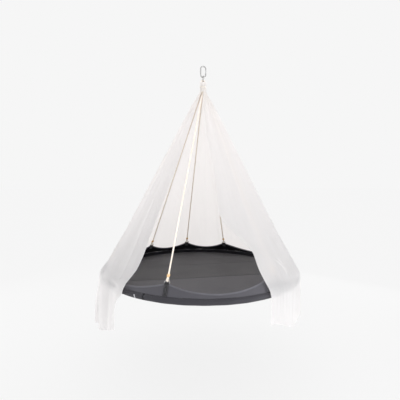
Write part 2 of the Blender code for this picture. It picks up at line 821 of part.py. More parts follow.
def build_gate_inside():
    """The gate's plunger at the foot of its bore, and the spring above it."""
    radius = GATE_BORE / 2 - GAP
    foot = gate_foot_z + BORE_FLOOR + GAP
    plunger = rod_between(
        "gate_plunger",
        Vector((hook_half, 0.0, foot)),
        Vector((hook_half, 0.0, foot + PLUNGER_LENGTH)),
        radius,
        12,
        parts,
    )
    finish(plunger, STEEL)
    coil_radius = radius - SPRING_WIRE / 2 - GAP
    low = foot + PLUNGER_LENGTH + GAP + SPRING_WIRE / 2
    high = gate_tip_z - GATE_CAP - GAP - SPRING_WIRE / 2
    count = SPRING_TURNS * 8
    points = []
    for step in range(count + 1):
        turn = 2.0 * math.pi * SPRING_TURNS * step / count
        z = low + (high - low) * step / count
        points.append(Vector((hook_half + coil_radius * math.cos(turn), coil_radius * math.sin(turn), z)))
    pitch = (high - low) / SPRING_TURNS
    print(f"gate_spring: least gap between turns {1000 * (pitch - SPRING_WIRE):.2f} mm")
    finish(mesh_from_curve(tube("gate_spring", points, SPRING_WIRE / 2, resolution=0)), STEEL)
    cap = rod_between(
        "gate_cap",
        Vector((hook_half, 0.0, gate_tip_z - GATE_CAP)),
        Vector((hook_half, 0.0, gate_tip_z)),
        radius,
        12,
        parts,
    )
    finish(cap, STEEL)


def build_pin():
    pin = rod_between(
        "gate_pin",
        Vector((hook_half, PIN_INSET - HOOK_ROD / 2, pivot_z)),
        Vector((hook_half, HOOK_ROD / 2 - PIN_INSET, pivot_z)),
        PIN_DIAMETER / 2,
        16,
        parts,
    )
    return finish(pin, STEEL)


def build_rig_ring():
    ring = torus_object(
        "rigging_ring",
        RIG_INNER_RADIUS + RIG_ROD / 2,
        RIG_ROD / 2,
        24,
        8,
        frame_at(Vector((0.0, 0.0, rig_centre_z)), Vector((0.0, 1.0, 0.0)), Vector((1.0, 0.0, 0.0))),
        parts,
    )
    return finish(ring, STEEL)


# Canopy: a collar tied round the bundle, and six panels sewn side by side, open at the entrance

def build_collar():
    """The gathered collar: a turned sleeve of cloth, drawn in where its tie goes round it."""
    waist = (COLLAR_TOP + COLLAR_FOOT) / 2
    waist_radius = collar_radius - COLLAR_WAIST_IN
    outer = [
        (collar_radius, COLLAR_TOP),
        (collar_radius - COLLAR_WAIST_IN / 2, waist + COLLAR_WAIST_HALF),
        (waist_radius, waist),
        (collar_radius - COLLAR_WAIST_IN / 2, waist - COLLAR_WAIST_HALF),
        (collar_radius, COLLAR_FOOT),
    ]
    inner = [(radius - CANOPY_CLOTH, height) for radius, height in reversed(outer)]
    profile = [(radius, bed_z + height) for radius, height in outer + inner]
    finish(turned("canopy_collar", profile, 24, closed_profile=True), WHITE_CLOTH)
    tie_radius = waist_radius + GAP + COLLAR_TIE / 2
    tie = torus_object(
        "collar_tie",
        tie_radius,
        COLLAR_TIE / 2,
        24,
        6,
        Matrix.Translation((0.0, 0.0, bed_z + waist)),
        parts,
    )
    finish(tie, WHITE_ROPE)


def smooth_step(value):
    """0 below 0, 1 above 1, and an even S-curve between."""
    value = min(1.0, max(0.0, value))
    return value * value * (3.0 - 2.0 * value)


def rope_distance(height):
    """Distance of a rope's centre from the Z axis at a height."""
    share = (bed_z + height - bar_z) / (fan_z - bar_z)
    return bar_radius_from_axis + share * (bundle_radius - bar_radius_from_axis)


canopy_top = COLLAR_FOOT - GAP
canopy_profile = [
    (canopy_top, collar_radius - CANOPY_CLOTH / 2),
    (CONE_FOOT_HEIGHT, rope_distance(CONE_FOOT_HEIGHT) + CONE_OFF_ROPE),
    (STOP_PASS_TOP, rope_distance(STOP_PASS_TOP) + STOP_PASS_OFF_ROPE),
    (STOP_PASS_FOOT, rope_distance(STOP_PASS_FOOT) + STOP_PASS_OFF_ROPE),
    (SHOULDER_HEIGHT, SHOULDER_RADIUS),
    (SKIRT_TOP_HEIGHT, SKIRT_TOP_RADIUS),
    (SKIRT_WAIST_HEIGHT, SKIRT_WAIST_RADIUS),
    (SKIRT_END_HEIGHT, SKIRT_END_RADIUS),
]
rows_between = [6, 1, 1, 2, 1, 1]
skirt_rows = 2
panel_rows = sum(rows_between) + skirt_rows


def leftness(bearing):
    """1 at the left side, 0 at the right side."""
    return (1.0 - math.sin(math.radians(bearing))) / 2


def canopy_radius(height, bearing):
    """Radius of the unfolded canopy: down the ropes, over the stops and the hem, then the skirt."""
    heights = [height for height, _ in reversed(canopy_profile)]
    radii = [radius for _, radius in reversed(canopy_profile)]
    below = smooth_step((PEAK_HEIGHT - height) / PEAK_HEIGHT)
    return float(np.interp(height, heights, radii)) + SKIRT_LEFT_OUT * leftness(bearing) * below


def left_edge(height):
    """Bearing of the entrance's left edge: nearly straight down, drawn further back round the bed."""
    lean = LEFT_EDGE_LEAN * smooth_step((LEFT_EDGE_LEAN_FROM - height) / LEFT_EDGE_LEAN_FALL)
    sweep = LEFT_EDGE_SWEEP * smooth_step((LEFT_EDGE_SWEEP_FROM - height) / LEFT_EDGE_SWEEP_FALL)
    flare = LEFT_EDGE_FLARE * smooth_step((LEFT_EDGE_FLARE_FROM - height) / LEFT_EDGE_FLARE_FALL)
    return LEFT_EDGE_TOP - lean - sweep - flare


def right_edge(height):
    """Bearing of the entrance's right edge: near the middle on top, swept back to the right lower down."""
    lean = RIGHT_EDGE_LEAN * smooth_step((RIGHT_EDGE_LEAN_FROM - height) / RIGHT_EDGE_LEAN_FALL)
    sweep = RIGHT_EDGE_SWEEP * smooth_step((RIGHT_EDGE_SWEEP_FROM - height) / RIGHT_EDGE_SWEEP_FALL)
    flare = RIGHT_EDGE_FLARE * smooth_step((RIGHT_EDGE_FLARE_FALL - height) / RIGHT_EDGE_FLARE_FALL)
    return RIGHT_EDGE_TOP + lean + sweep + flare


def fold(bearing, height):
    """Outward swell of the cloth's folds: a wave round the canopy, shallow on the cone and deep on the skirt."""
    skirt = FOLD_ON_SKIRT + FOLD_LEFT_MORE * (2.0 * leftness(bearing) - 1.0)
    depth = FOLD_ON_CONE + (skirt - FOLD_ON_CONE) * smooth_step((PEAK_HEIGHT - height) / PEAK_HEIGHT)
    fade = min(1.0, (canopy_top - height) / FOLD_FADE)
    return depth * fade * 0.5 * (1.0 + math.sin(math.radians(bearing) * FOLD_COUNT + FOLD_PHASE))


def panel_height(row, foot):
    """Height of a row down a panel: the profile's corners are rows, and the last rows reach the foot."""
    stops = [height for height, _ in canopy_profile[:-1]]
    for upper, lower, count in zip(stops, stops[1:], rows_between):
        if row <= count:
            return upper + row / count * (lower - upper)
        row -= count
    return stops[-1] + row / skirt_rows * (foot - stops[-1])


def build_panel(name, first, last, foot, across):
    """A panel of the canopy between two bearings, which may change with height, from the collar to its foot."""

    def place(u, v):
        height = panel_height(round(v * panel_rows), foot(u))
        low, high = first(height), last(height)
        bearing = low + u * (high - low)
        radius = canopy_radius(height, bearing) + fold(bearing, height)
        return around(bearing, radius, bed_z + height)

    panel = mapped_sheet(name, across, panel_rows, place)
    return finish(thicken(panel, CANOPY_CLOTH), WHITE_CLOTH)


def seam_gap(height):
    """Half the gap between two panels, as a bearing, the same width at every height."""
    return math.degrees(PANEL_GAP / 2 / canopy_radius(height, 0.0))


def right_foot(u):
    """Foot of the front right panel: its front corner is lifted, and the hem drops away from it."""
    return SKIRT_FOOT_RIGHT + RIGHT_CORNER_RISE * (1.0 - smooth_step(u / 0.85))


def left_foot(u):
    """Foot of the left panel: lifted at its seam, down a step to its level part, then lifted to its corner."""
    seam = LEFT_SEAM_RISE * (1.0 - smooth_step((u - LEFT_STEP_FROM) / LEFT_STEP_WIDTH))
    return SKIRT_FOOT_LEFT + seam + LEFT_CORNER_RISE * max(0.0, 2.0 * u - 1.0) ** 1.2


def after(bearing):
    """A panel's edge just past a seam."""
    return lambda height: bearing + seam_gap(height)


def before(bearing):
    """A panel's edge just short of a seam."""
    return lambda height: bearing - seam_gap(height)


def build_canopy():
    """Six panels sewn side by side: two right of the entrance, three at the back and one left of the entrance."""
    foot_left_seam = SKIRT_FOOT_LEFT + LEFT_SEAM_RISE
    back_width = (360.0 - 2.0 * SEAM_BEARING) / len(BACK_PANELS)
    back_rise = (foot_left_seam - SKIRT_FOOT_RIGHT) / len(BACK_PANELS)
    build_panel("canopy_front_right", right_edge, before(FRONT_SEAM_BEARING), right_foot, 12)
    build_panel(
        "canopy_side_right", after(FRONT_SEAM_BEARING), before(SEAM_BEARING), lambda u: SKIRT_FOOT_RIGHT, 11
    )
    for index, name in enumerate(BACK_PANELS):
        start = SEAM_BEARING + index * back_width
        foot = SKIRT_FOOT_RIGHT + index * back_rise
        build_panel(name, after(start), before(start + back_width), lambda u: foot + u * back_rise, 11)
    build_panel("canopy_left", after(-SEAM_BEARING), left_edge, left_foot, 18)


# Joints: each empty stands on the axis that its children turn about

def hold(child, parent):
    """Parents the child where it stands; the parent is an empty that is moved but not turned."""
    child.parent = parent
    child.matrix_parent_inverse = parent.matrix_world.inverted()


def joint_empty(name, place):
    empty = link(name, None)
    empty.matrix_world = Matrix.Translation(place)
    return empty


def hang_together():
    """Hangs the rigging ring on the hook, the hammock on the ring, and the gate's parts on their pivot."""
    solids = list(parts.objects)
    bpy.context.view_layer.update()
    gate_pivot = joint_empty("gate_pivot", Vector((hook_half, 0.0, pivot_z)))
    ring_swing = joint_empty("ring_swing", Vector((0.0, 0.0, low_bend_z - hook_half)))
    hammock_swing = joint_empty("hammock_swing", Vector((0.0, 0.0, rig_low_z)))
    hold(hammock_swing, ring_swing)
    for obj in solids:
        if obj.name in ("hook_gate", "gate_plunger", "gate_spring", "gate_cap"):
            hold(obj, gate_pivot)
        elif obj.name == "rigging_ring":
            hold(obj, ring_swing)
        elif obj.name not in ("hook_body", "gate_pin"):
            hold(obj, hammock_swing)


build_wall()
build_binding()
build_hem()
build_poles()
build_floor()
for side_name, rope_bearing in ROPES.items():
    build_strap(side_name, rope_bearing)
    build_ring(side_name, rope_bearing)
    build_rope(side_name, rope_bearing)
    build_bead(side_name, rope_bearing)
build_crown()
build_whipping()
build_hook()
build_gate()
build_gate_inside()
build_pin()
build_rig_ring()
build_collar()
build_canopy()
hang_together()
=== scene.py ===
"""Looks of a tipi hammock: a dark cloth bed on a pole ring, hung by seven ropes under a white cloth canopy.

Units are metres, +Z is up, and the origin is the hang point, the top of the snap hook's inner bow.
The entrance faces -Y. A bearing is in degrees round the Z axis from the entrance, positive towards +X.
A "height" is above the bed's underside, which hangs BED_DROP below the origin.
"""
import math

import bpy
import numpy as np
from mathutils import Matrix, Vector


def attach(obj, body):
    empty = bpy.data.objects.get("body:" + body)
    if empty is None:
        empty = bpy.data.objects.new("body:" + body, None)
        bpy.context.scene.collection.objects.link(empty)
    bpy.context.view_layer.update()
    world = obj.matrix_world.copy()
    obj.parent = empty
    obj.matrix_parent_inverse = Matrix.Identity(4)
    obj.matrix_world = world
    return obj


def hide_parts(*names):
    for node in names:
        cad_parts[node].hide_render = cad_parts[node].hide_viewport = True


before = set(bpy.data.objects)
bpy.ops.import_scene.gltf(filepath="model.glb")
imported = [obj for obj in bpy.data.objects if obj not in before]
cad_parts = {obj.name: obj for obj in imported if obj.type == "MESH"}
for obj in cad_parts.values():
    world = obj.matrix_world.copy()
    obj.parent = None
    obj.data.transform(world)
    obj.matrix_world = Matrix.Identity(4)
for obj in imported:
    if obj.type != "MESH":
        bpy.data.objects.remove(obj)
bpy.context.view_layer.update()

# Sizes that the part has too

GAP = 0.0003
BED_DROP = 1.597
BED_RADIUS = 0.750
HEM_HEIGHT = 0.036
CLOTH = 0.0015
PEAK_HEIGHT = 0.106
PEAK_RADIUS = 0.699
FLOOR_THICKNESS = 0.0020
FLOOR_SAG = 0.008
FLOOR_DROP = 0.020
FLOOR_TURN_UP = 0.028
FLOOR_FLAT_RADIUS = 0.150
BINDING_WIDTH = 0.010
BINDING_THICKNESS = 0.0036
HEM_SLIT_BEARING = -41.3
HEM_SLIT_WIDTH = 0.010
POLE_RADIUS = 0.0125
POLE_PLAY = 0.0018
# Each scallop of the wall's edge: its first and last bearing, its dip and the share of the way that it takes
SCALLOPS = (
    (-150.0, -90.0, 0.055, 1.0),
    (-90.0, -30.0, 0.048, 1.0),
    (-30.0, 30.0, 0.045, 0.90),
    (30.0, 90.0, 0.048, 1.0),
    (90.0, 150.0, 0.055, 1.0),
    (150.0, 180.0, 0.040, 1.0),
    (180.0, 210.0, 0.040, 1.0),
)
ROPES = {
    "front_right": 30.0,
    "side_right": 90.0,
    "back_right": 150.0,
    "back_middle": 180.0,
    "back_left": -150.0,
    "side_left": -90.0,
    "front_left": -30.0,
}
ROPE_DIAMETER = 0.011
ROPE_RADIUS = ROPE_DIAMETER / 2
EYE_INNER_RADIUS = 0.0050
RING_PLAY = 0.00075
FAN_HEIGHT = 1.402
BUNDLE_HEIGHT = 1.460
BEAD_DIAMETER = 0.024
BEAD_LENGTH = 0.020
BEAD_BORE = ROPE_RADIUS + 0.0006
RING_WIRE = 0.004
RING_INNER_WIDTH = 0.031
RING_SIDE = 0.003
STRAP_WIDTH = 0.030
STRAP_THICKNESS = 0.0018
STRAP_LOOP_PLAY = 0.0005
STRAP_INSIDE_LENGTH = 0.036
STRAP_FOOT_ABOVE_HEM = 0.002
STRAP_MARGIN = 0.002
HOOK_ROD = 0.010
HOOK_WIDTH = 0.050
HOOK_HEIGHT = 0.092
GATE_RADIUS = 0.004
GATE_TONGUE = 0.0040
RIG_ROD = 0.008
RIG_INNER_RADIUS = 0.017
CROWN_EYE_INNER_RADIUS = 0.0062
BINDING_TWINE = 0.0018
WHIPPING_TOP = 1.446
WHIPPING_FOOT = 1.404
CANOPY_CLOTH = 0.0012
COLLAR_TOP = 1.482
COLLAR_FOOT = 1.4105
COLLAR_WAIST_IN = 0.0010
COLLAR_TIE = 0.0035
SKIRT_LEFT_OUT = 0.016
FOLD_COUNT = 18
FOLD_PHASE = 0.4
FOLD_ON_CONE = 0.008
FOLD_ON_SKIRT = 0.014
FOLD_LEFT_MORE = 0.008
FOLD_FADE = 0.10
SKIRT_FOOT_RIGHT = -0.258
SKIRT_FOOT_LEFT = -0.330
RIGHT_CORNER_RISE = 0.090
LEFT_CORNER_RISE = 0.087
LEFT_SEAM_RISE = 0.068
SEAM_BEARING = 100.0
FRONT_SEAM_BEARING = 50.0
BACK_PANELS = ("back_right", "back_middle", "back_left")
PANEL_GAP = 0.0008

bed_z = -BED_DROP
hem_radius = POLE_RADIUS + POLE_PLAY + CLOTH / 2
hem_centre = hem_radius + CLOTH / 2
pole_ring_radius = BED_RADIUS - hem_radius - CLOTH / 2
wall_slope = (PEAK_RADIUS - pole_ring_radius) / (PEAK_HEIGHT - HEM_HEIGHT)
lean_in = math.atan2(-wall_slope, 1.0)
bar_above_peak = CLOTH / 2 + BINDING_THICKNESS / 2 + GAP + RING_WIRE / 2 + STRAP_LOOP_PLAY
loop_radius = RING_WIRE / 2 + STRAP_LOOP_PLAY + STRAP_THICKNESS / 2
bar_radius_from_axis = PEAK_RADIUS - bar_above_peak * math.sin(lean_in)
bar_z = bed_z + PEAK_HEIGHT + bar_above_peak * math.cos(lean_in)
bundle_radius = (ROPE_DIAMETER + GAP) / 2 / math.sin(math.pi / len(ROPES))
fan_z = bed_z + FAN_HEIGHT
ring_half = (RING_INNER_WIDTH + RING_WIRE) / 2
rope_seat = RING_SIDE + ring_half - RING_WIRE / 2 - RING_PLAY - ROPE_RADIUS
eye_centre = rope_seat + EYE_INNER_RADIUS + ROPE_RADIUS
bead_foot = eye_centre + math.sqrt((EYE_INNER_RADIUS + ROPE_DIAMETER) ** 2 - BEAD_BORE**2) + 2.0 * GAP
whipping_radius = bundle_radius + ROPE_RADIUS + GAP + BINDING_TWINE
collar_radius = whipping_radius + GAP + CANOPY_CLOTH + COLLAR_WAIST_IN
hook_half = (HOOK_WIDTH - HOOK_ROD) / 2
hook_rod = HOOK_ROD / 2
top_bend_z = hook_rod - hook_half
low_bend_z = hook_rod - (HOOK_HEIGHT - HOOK_ROD) + hook_half
pivot_z = low_bend_z + 0.005
nose_z = top_bend_z - 0.001
rig_centre_z = GAP - (HOOK_HEIGHT - 2.0 * HOOK_ROD) - RIG_INNER_RADIUS
crown_eye_z = rig_centre_z - RIG_INNER_RADIUS - CROWN_EYE_INNER_RADIUS + GAP


# Camera

CAMERA_DISTANCE = 2.98182
CAMERA_HEIGHT = 0.80796
CAMERA_PITCH = 0.0768197
CAMERA_SIDE = 12.3
CAMERA_ROLL = 0.0085
CAMERA_FOCUS_PIXELS = 381.0
CAMERA_CENTRE_PIXELS = 203.2
CAMERA_SEES_TO = 50.0
IMAGE_PIXELS = 400.0
SENSOR_WIDTH = 36.0


def make_camera():
    """A camera left of the entrance, a little above the bed, that leans about the hang point by the roll."""
    side = math.radians(CAMERA_SIDE)
    data = bpy.data.cameras.new("camera")
    camera = bpy.data.objects.new("camera", data)
    bpy.context.scene.collection.objects.link(camera)
    data.sensor_width = SENSOR_WIDTH
    data.lens = CAMERA_FOCUS_PIXELS / IMAGE_PIXELS * SENSOR_WIDTH
    data.shift_x = -(CAMERA_CENTRE_PIXELS - IMAGE_PIXELS / 2) / IMAGE_PIXELS
    data.clip_end = CAMERA_SEES_TO
    look = Vector((math.sin(side), math.cos(side), 0.0))
    camera.location = (-CAMERA_DISTANCE * look.x, -CAMERA_DISTANCE * look.y, bed_z + CAMERA_HEIGHT)
    aim = look * math.cos(CAMERA_PITCH) - Vector((0.0, 0.0, math.sin(CAMERA_PITCH)))
    camera.rotation_euler = aim.to_track_quat("-Z", "Y").to_euler()
    bpy.context.view_layer.update()
    camera.matrix_world = Matrix.Rotation(-CAMERA_ROLL, 4, look) @ camera.matrix_world
    bpy.context.scene.camera = camera


# Curves and numbers over whole arrays

X_AXIS = np.array([1.0, 0.0, 0.0])
Y_AXIS = np.array([0.0, 1.0, 0.0])
Z_AXIS = np.array([0.0, 0.0, 1.0])


def smooth_step(value):
    """0 below 0, 1 above 1, and the even S-curve 3 v^2 - 2 v^3 between."""
    value = np.clip(value, 0.0, 1.0)
    return value * value * (3.0 - 2.0 * value)


def bump_at(value, centre, width):
    """A bell that is 1 at the centre: exp of minus the squared distance over the width squared."""
    return np.exp(-(((value - centre) / width) ** 2))


def joined(*parts):
    """Numbers and arrays side by side in a last axis, as the coordinates of points."""
    return np.stack(np.broadcast_arrays(*parts), axis=-1)


def around(bearing, radius, z):
    """Points at a bearing, a radius from the Z axis and a height: x = r sin b, y = -r cos b."""
    turn = np.radians(bearing)
    return joined(radius * np.sin(turn), -radius * np.cos(turn), z)


def upright(top, foot, count):
    """A line of count points straight down the Z axis."""
    return joined(0.0, 0.0, np.linspace(top, foot, count))


def unit(vectors):
    """Vectors divided by their length."""
    return vectors / np.maximum(np.linalg.norm(vectors, axis=-1, keepdims=True), 1e-12)


def ripple(x, y, seed, waves, low, high):
    """Even noise between about -1 and 1: a mean of sine waves whose directions, lengths and starts are drawn
    from a seeded generator, with between low and high waves to a unit of x and y."""
    draw = np.random.default_rng(seed)
    total = np.zeros(np.broadcast(x, y).shape)
    for turn, count, start in zip(
        draw.uniform(0.0, 2.0 * math.pi, waves),
        draw.uniform(low, high, waves),
        draw.uniform(0.0, 2.0 * math.pi, waves),
    ):
        total += np.sin(2.0 * math.pi * count * (x * math.cos(turn) + y * math.sin(turn)) + start)
    return total / math.sqrt(waves)


def along(points):
    """Length from the first point of a line to each of its points."""
    steps = np.linalg.norm(np.diff(points, axis=0), axis=-1)
    return np.concatenate([[0.0], np.cumsum(steps)])


def picked(at, run, data):
    """Rows of data at some lengths, where run gives the length at each of its rows."""
    return joined(*(np.interp(at, run, column) for column in data.T))


def respaced(points, count):
    """The same line with count points an even length apart."""
    run = along(points)
    return picked(np.linspace(0.0, run[-1], count), run, points)


def rounded(points, count, passes):
    """A line with count even points whose corners are worn round: each pass moves every inner point to the
    mean of itself and its two neighbours."""
    line = respaced(np.asarray(points, float), count)
    for _ in range(passes):
        line[1:-1] = (line[:-2] + 2.0 * line[1:-1] + line[2:]) / 4.0
    return line


def full_turn(count):
    """Even angles of a whole circle, in radians, without the last one."""
    return np.linspace(0.0, 2.0 * math.pi, count, endpoint=False)


def bearings(count):
    """Even bearings all round, without the last one."""
    return np.linspace(0.0, 360.0, count, endpoint=False)


def loop_line(centre, first, second, radius, count):
    """A circle in space about a centre: centre + r cos t first + r sin t second."""
    turn = full_turn(count)
    return centre + radius * (np.cos(turn)[:, None] * first + np.sin(turn)[:, None] * second)


# Meshes

def volume_of(vertices, faces):
    """Signed volume of a closed mesh of quads: the sum over their triangles of a . (b x c) / 6."""
    a, b, c, d = (vertices[faces[:, corner]] for corner in range(4))
    return float(np.einsum("ij,ij->i", a, np.cross(b, c) + np.cross(c, d)).sum()) / 6.0


def piece(name, vertices, faces, looks, uv, looks_index=None, sharp=40.0):
    """A mesh object from quads, where a triangle is a quad that names its last corner twice. Its faces are
    turned round together if the closed surface's signed volume comes out negative."""
    if volume_of(vertices, faces) < 0.0:
        faces = faces[:, ::-1]
        uv = uv[:, ::-1]
    kept = faces != np.roll(faces, -1, axis=1)
    counts = kept.sum(axis=1)
    starts = np.concatenate([[0], np.cumsum(counts)[:-1]])
    mesh = bpy.data.meshes.new(name)
    mesh.vertices.add(len(vertices))
    mesh.vertices.foreach_set("co", np.ascontiguousarray(vertices, np.float32).ravel())
    mesh.loops.add(int(counts.sum()))
    mesh.loops.foreach_set("vertex_index", faces[kept].astype(np.int32))
    mesh.polygons.add(len(faces))
    mesh.polygons.foreach_set("loop_start", starts.astype(np.int32))
    layer = mesh.uv_layers.new(name="cut")
    layer.uv.foreach_set("vector", np.ascontiguousarray(uv[kept], np.float32).ravel())
    for look in looks if isinstance(looks, list) else [looks]:
        mesh.materials.append(look)
    if looks_index is not None:
        mesh.polygons.foreach_set("material_index", looks_index.astype(np.int32))
    mesh.update(calc_edges=True)
    mesh.validate()
    mesh.shade_smooth()
    mesh.set_sharp_from_angle(angle=math.radians(sharp))
    obj = bpy.data.objects.new(name, mesh)
    bpy.context.scene.collection.objects.link(obj)
    return obj


def grid_faces(rows, columns, wrap_rows, wrap_columns):
    """Quads of a grid whose vertex (i, j) is number i times columns plus j, and the (i, j) of their corners
    counted on past the last one where the grid closes on itself."""
    i, j = np.meshgrid(
        np.arange(rows if wrap_rows else rows - 1),
        np.arange(columns if wrap_columns else columns - 1),
        indexing="ij",
    )
    i = joined(i, i + 1, i + 1, i).reshape(-1, 4)
    j = joined(j, j, j + 1, j + 1).reshape(-1, 4)
    return (i % rows) * columns + j % columns, i, j


def end_fans(rings, count):
    """Triangles from each end ring of a tube to its tip; the tips are the two vertices after the grid's."""
    step = np.arange(count)
    after = (step + 1) % count
    base, tip = (rings - 1) * count, rings * count
    return [joined(step, after, tip, tip), joined(base + after, base + step, tip + 1, tip + 1)]


def tube(name, grid, looks, length=None, closed=False):
    """A closed surface from a grid of rings: grid[i, j] is point j of ring i. The rings join into a loop
    where closed is set, and otherwise each end is a fan of triangles about the ring's mean. The UV map is
    metres along the tube and round it."""
    rings, count = grid.shape[:2]
    faces, i, j = grid_faces(rings, count, closed, True)
    centres = grid.mean(axis=1)
    if length is None:
        length = along(centres)
    if closed:
        length = np.append(length, length[-1] + np.linalg.norm(centres[0] - centres[-1]))
    middle = grid[rings // 2]
    girth = float(np.linalg.norm(middle - np.roll(middle, 1, axis=0), axis=-1).sum())
    round_it = np.arange(count + 1) * girth / count
    uv = joined(length[i], round_it[j])
    vertices = grid.reshape(-1, 3)
    if not closed:
        vertices = np.concatenate([vertices, centres[:1], centres[-1:]])
        faces = np.concatenate([faces, *end_fans(rings, count)])
        step = np.arange(count)
        ends = round_it[joined(step, step + 1, step, step)]
        uv = np.concatenate([uv, joined(length[0], ends), joined(length[-1], ends)])
    return piece(name, vertices, faces, looks, uv)


def cloth(name, grid, uv, thickness, looks, wrap=False, sharp=40.0):
    """A closed shell round a sheet. grid[i, j] is the sheet's middle and uv[i, j] its place on the cut in
    metres; each side lies half the thickness off it along the unit normal dP/di x dP/dj, and strips close
    the edges. Where wrap is set the rows join into a loop. The outer side takes the first finish and the
    inner side the last."""
    rows, columns = grid.shape[:2]
    if wrap:
        down = np.roll(grid, -1, axis=0) - np.roll(grid, 1, axis=0)
        uv = np.concatenate([uv, 2.0 * uv[-1:] - uv[-2:-1]])
    else:
        down = np.gradient(grid, axis=0)
    normal = unit(np.cross(down, np.gradient(grid, axis=1)))
    half = (np.broadcast_to(thickness, (rows, columns)) / 2.0)[..., None]
    ring = np.concatenate([grid + normal * half, (grid - normal * half)[:, ::-1]], axis=1)
    both = np.concatenate([uv, uv[:, ::-1]], axis=1)
    faces, i, j = grid_faces(rows, 2 * columns, wrap, True)
    place = both[i, j % (2 * columns)]
    inner = (j[:, 0] >= columns - 1).astype(int)
    if not wrap:
        step = np.arange(columns - 1)
        opposite = 2 * columns - 1 - step
        foot = joined(step, step + 1, opposite - 1, opposite)
        head = joined(step + 1, step, opposite, opposite - 1)
        faces = np.concatenate([faces, foot, head + (rows - 1) * 2 * columns])
        place = np.concatenate([place, both[0][foot], both[-1][head]])
        inner = np.concatenate([inner, np.zeros(2 * len(foot), int)])
    looks = looks if isinstance(looks, list) else [looks]
    return piece(name, ring.reshape(-1, 3), faces, looks, place, inner * (len(looks) - 1), sharp)


def carried(line, section, flat, closed=False):
    """A section carried along a line: point = line + side * x + up * y, with x and y from section[i, j]. The
    side is square to the line and to the direction flat, and up is side x along."""
    if closed:
        forward = np.roll(line, -1, axis=0) - np.roll(line, 1, axis=0)
    else:
        forward = np.gradient(line, axis=0)
    forward = unit(forward)
    side = unit(np.cross(forward, np.broadcast_to(flat, forward.shape)))
    up = np.cross(side, forward)
    section = np.broadcast_to(section, (len(line),) + section.shape[-2:])
    return line[:, None] + side[:, None] * section[..., :1] + up[:, None] * section[..., 1:]


def circle(count):
    """Points of a circle of radius 1, one row: (cos t, sin t)."""
    turn = full_turn(count)
    return joined(np.cos(turn), np.sin(turn))


def round_bar(name, line, radius, flat, looks, closed=False, sides=28):
    """A round bar along a line; radius may change from point to point."""
    radius = np.broadcast_to(radius, (len(line),))[:, None, None]
    return tube(name, carried(line, circle(sides)[None] * radius, flat, closed), looks, closed=closed)


def turned(name, profile, axis_foot, axis, side, looks, count=48, closed=False):
    """A form turned on an axis: profile rows are (radius, distance along the axis), carried round it."""
    profile = np.asarray(profile, float)
    axis, side = unit(axis), unit(side)
    turn = full_turn(count)[:, None]
    ring = np.cos(turn) * side + np.sin(turn) * np.cross(axis, side)
    grid = axis_foot + profile[:, None, :1] * ring + profile[:, None, 1:] * axis
    return tube(name, grid, looks, length=along(np.pad(profile, ((0, 0), (0, 1)))), closed=closed)


STITCH_SIDES = 5
STITCH_RINGS = np.array([-0.36, 0.0, 0.36])
STITCH_GIRTHS = np.array([0.75, 1.0, 0.75])


def stitches(name, lines, looks, length=0.0034, pitch=0.0050, radius=0.00035):
    """Sewn stitches along lines of (points, normals): each stitch is a spindle of three rings of five points
    and two tips, half sunk in the cloth, laid end to end at the pitch."""
    middles, forwards, normals = [], [], []
    for points, normal in lines:
        run = along(points)
        count = max(1, int(run[-1] / pitch))
        at = (np.arange(count) + 0.5) * run[-1] / count
        middles.append(picked(at, run, points))
        forwards.append(unit(picked(at, run, np.gradient(points, run, axis=0))))
        normals.append(unit(picked(at, run, np.broadcast_to(normal, points.shape))))
    middle, forward, normal = (np.concatenate(part) for part in (middles, forwards, normals))
    side = unit(np.cross(normal, forward))
    girth = STITCH_GIRTHS[:, None] * radius * circle(STITCH_SIDES).T[:, None]
    grid = (
        middle[:, None, None]
        + forward[:, None, None] * (STITCH_RINGS * length)[:, None, None]
        + side[:, None, None] * girth[0][..., None]
        + normal[:, None, None] * girth[1][..., None]
    )
    rings = len(STITCH_RINGS)
    tips = middle[:, None] + forward[:, None] * (np.array([-0.5, 0.5]) * length)[:, None]
    vertices = np.concatenate([grid.reshape(len(middle), -1, 3), tips], axis=1)
    one = np.concatenate([grid_faces(rings, STITCH_SIDES, False, True)[0], *end_fans(rings, STITCH_SIDES)])
    faces = (one[None] + vertices.shape[1] * np.arange(len(middle))[:, None, None]).reshape(-1, 4)
    vertices = vertices.reshape(-1, 3)
    return piece(name, vertices, faces, looks, vertices[faces][..., :2])


def settle(parts, body):
    """Sets the body that the parts ride on."""
    for part in parts:
        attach(part, body)


# Finishes

def linear(red, green, blue):
    """Scene colour of an sRGB colour given from 0 to 255."""
    values = np.array([red, green, blue]) / 255.0
    high = ((values + 0.055) / 1.055) ** 2.4
    return tuple(np.where(values <= 0.04045, values / 12.92, high)) + (1.0,)


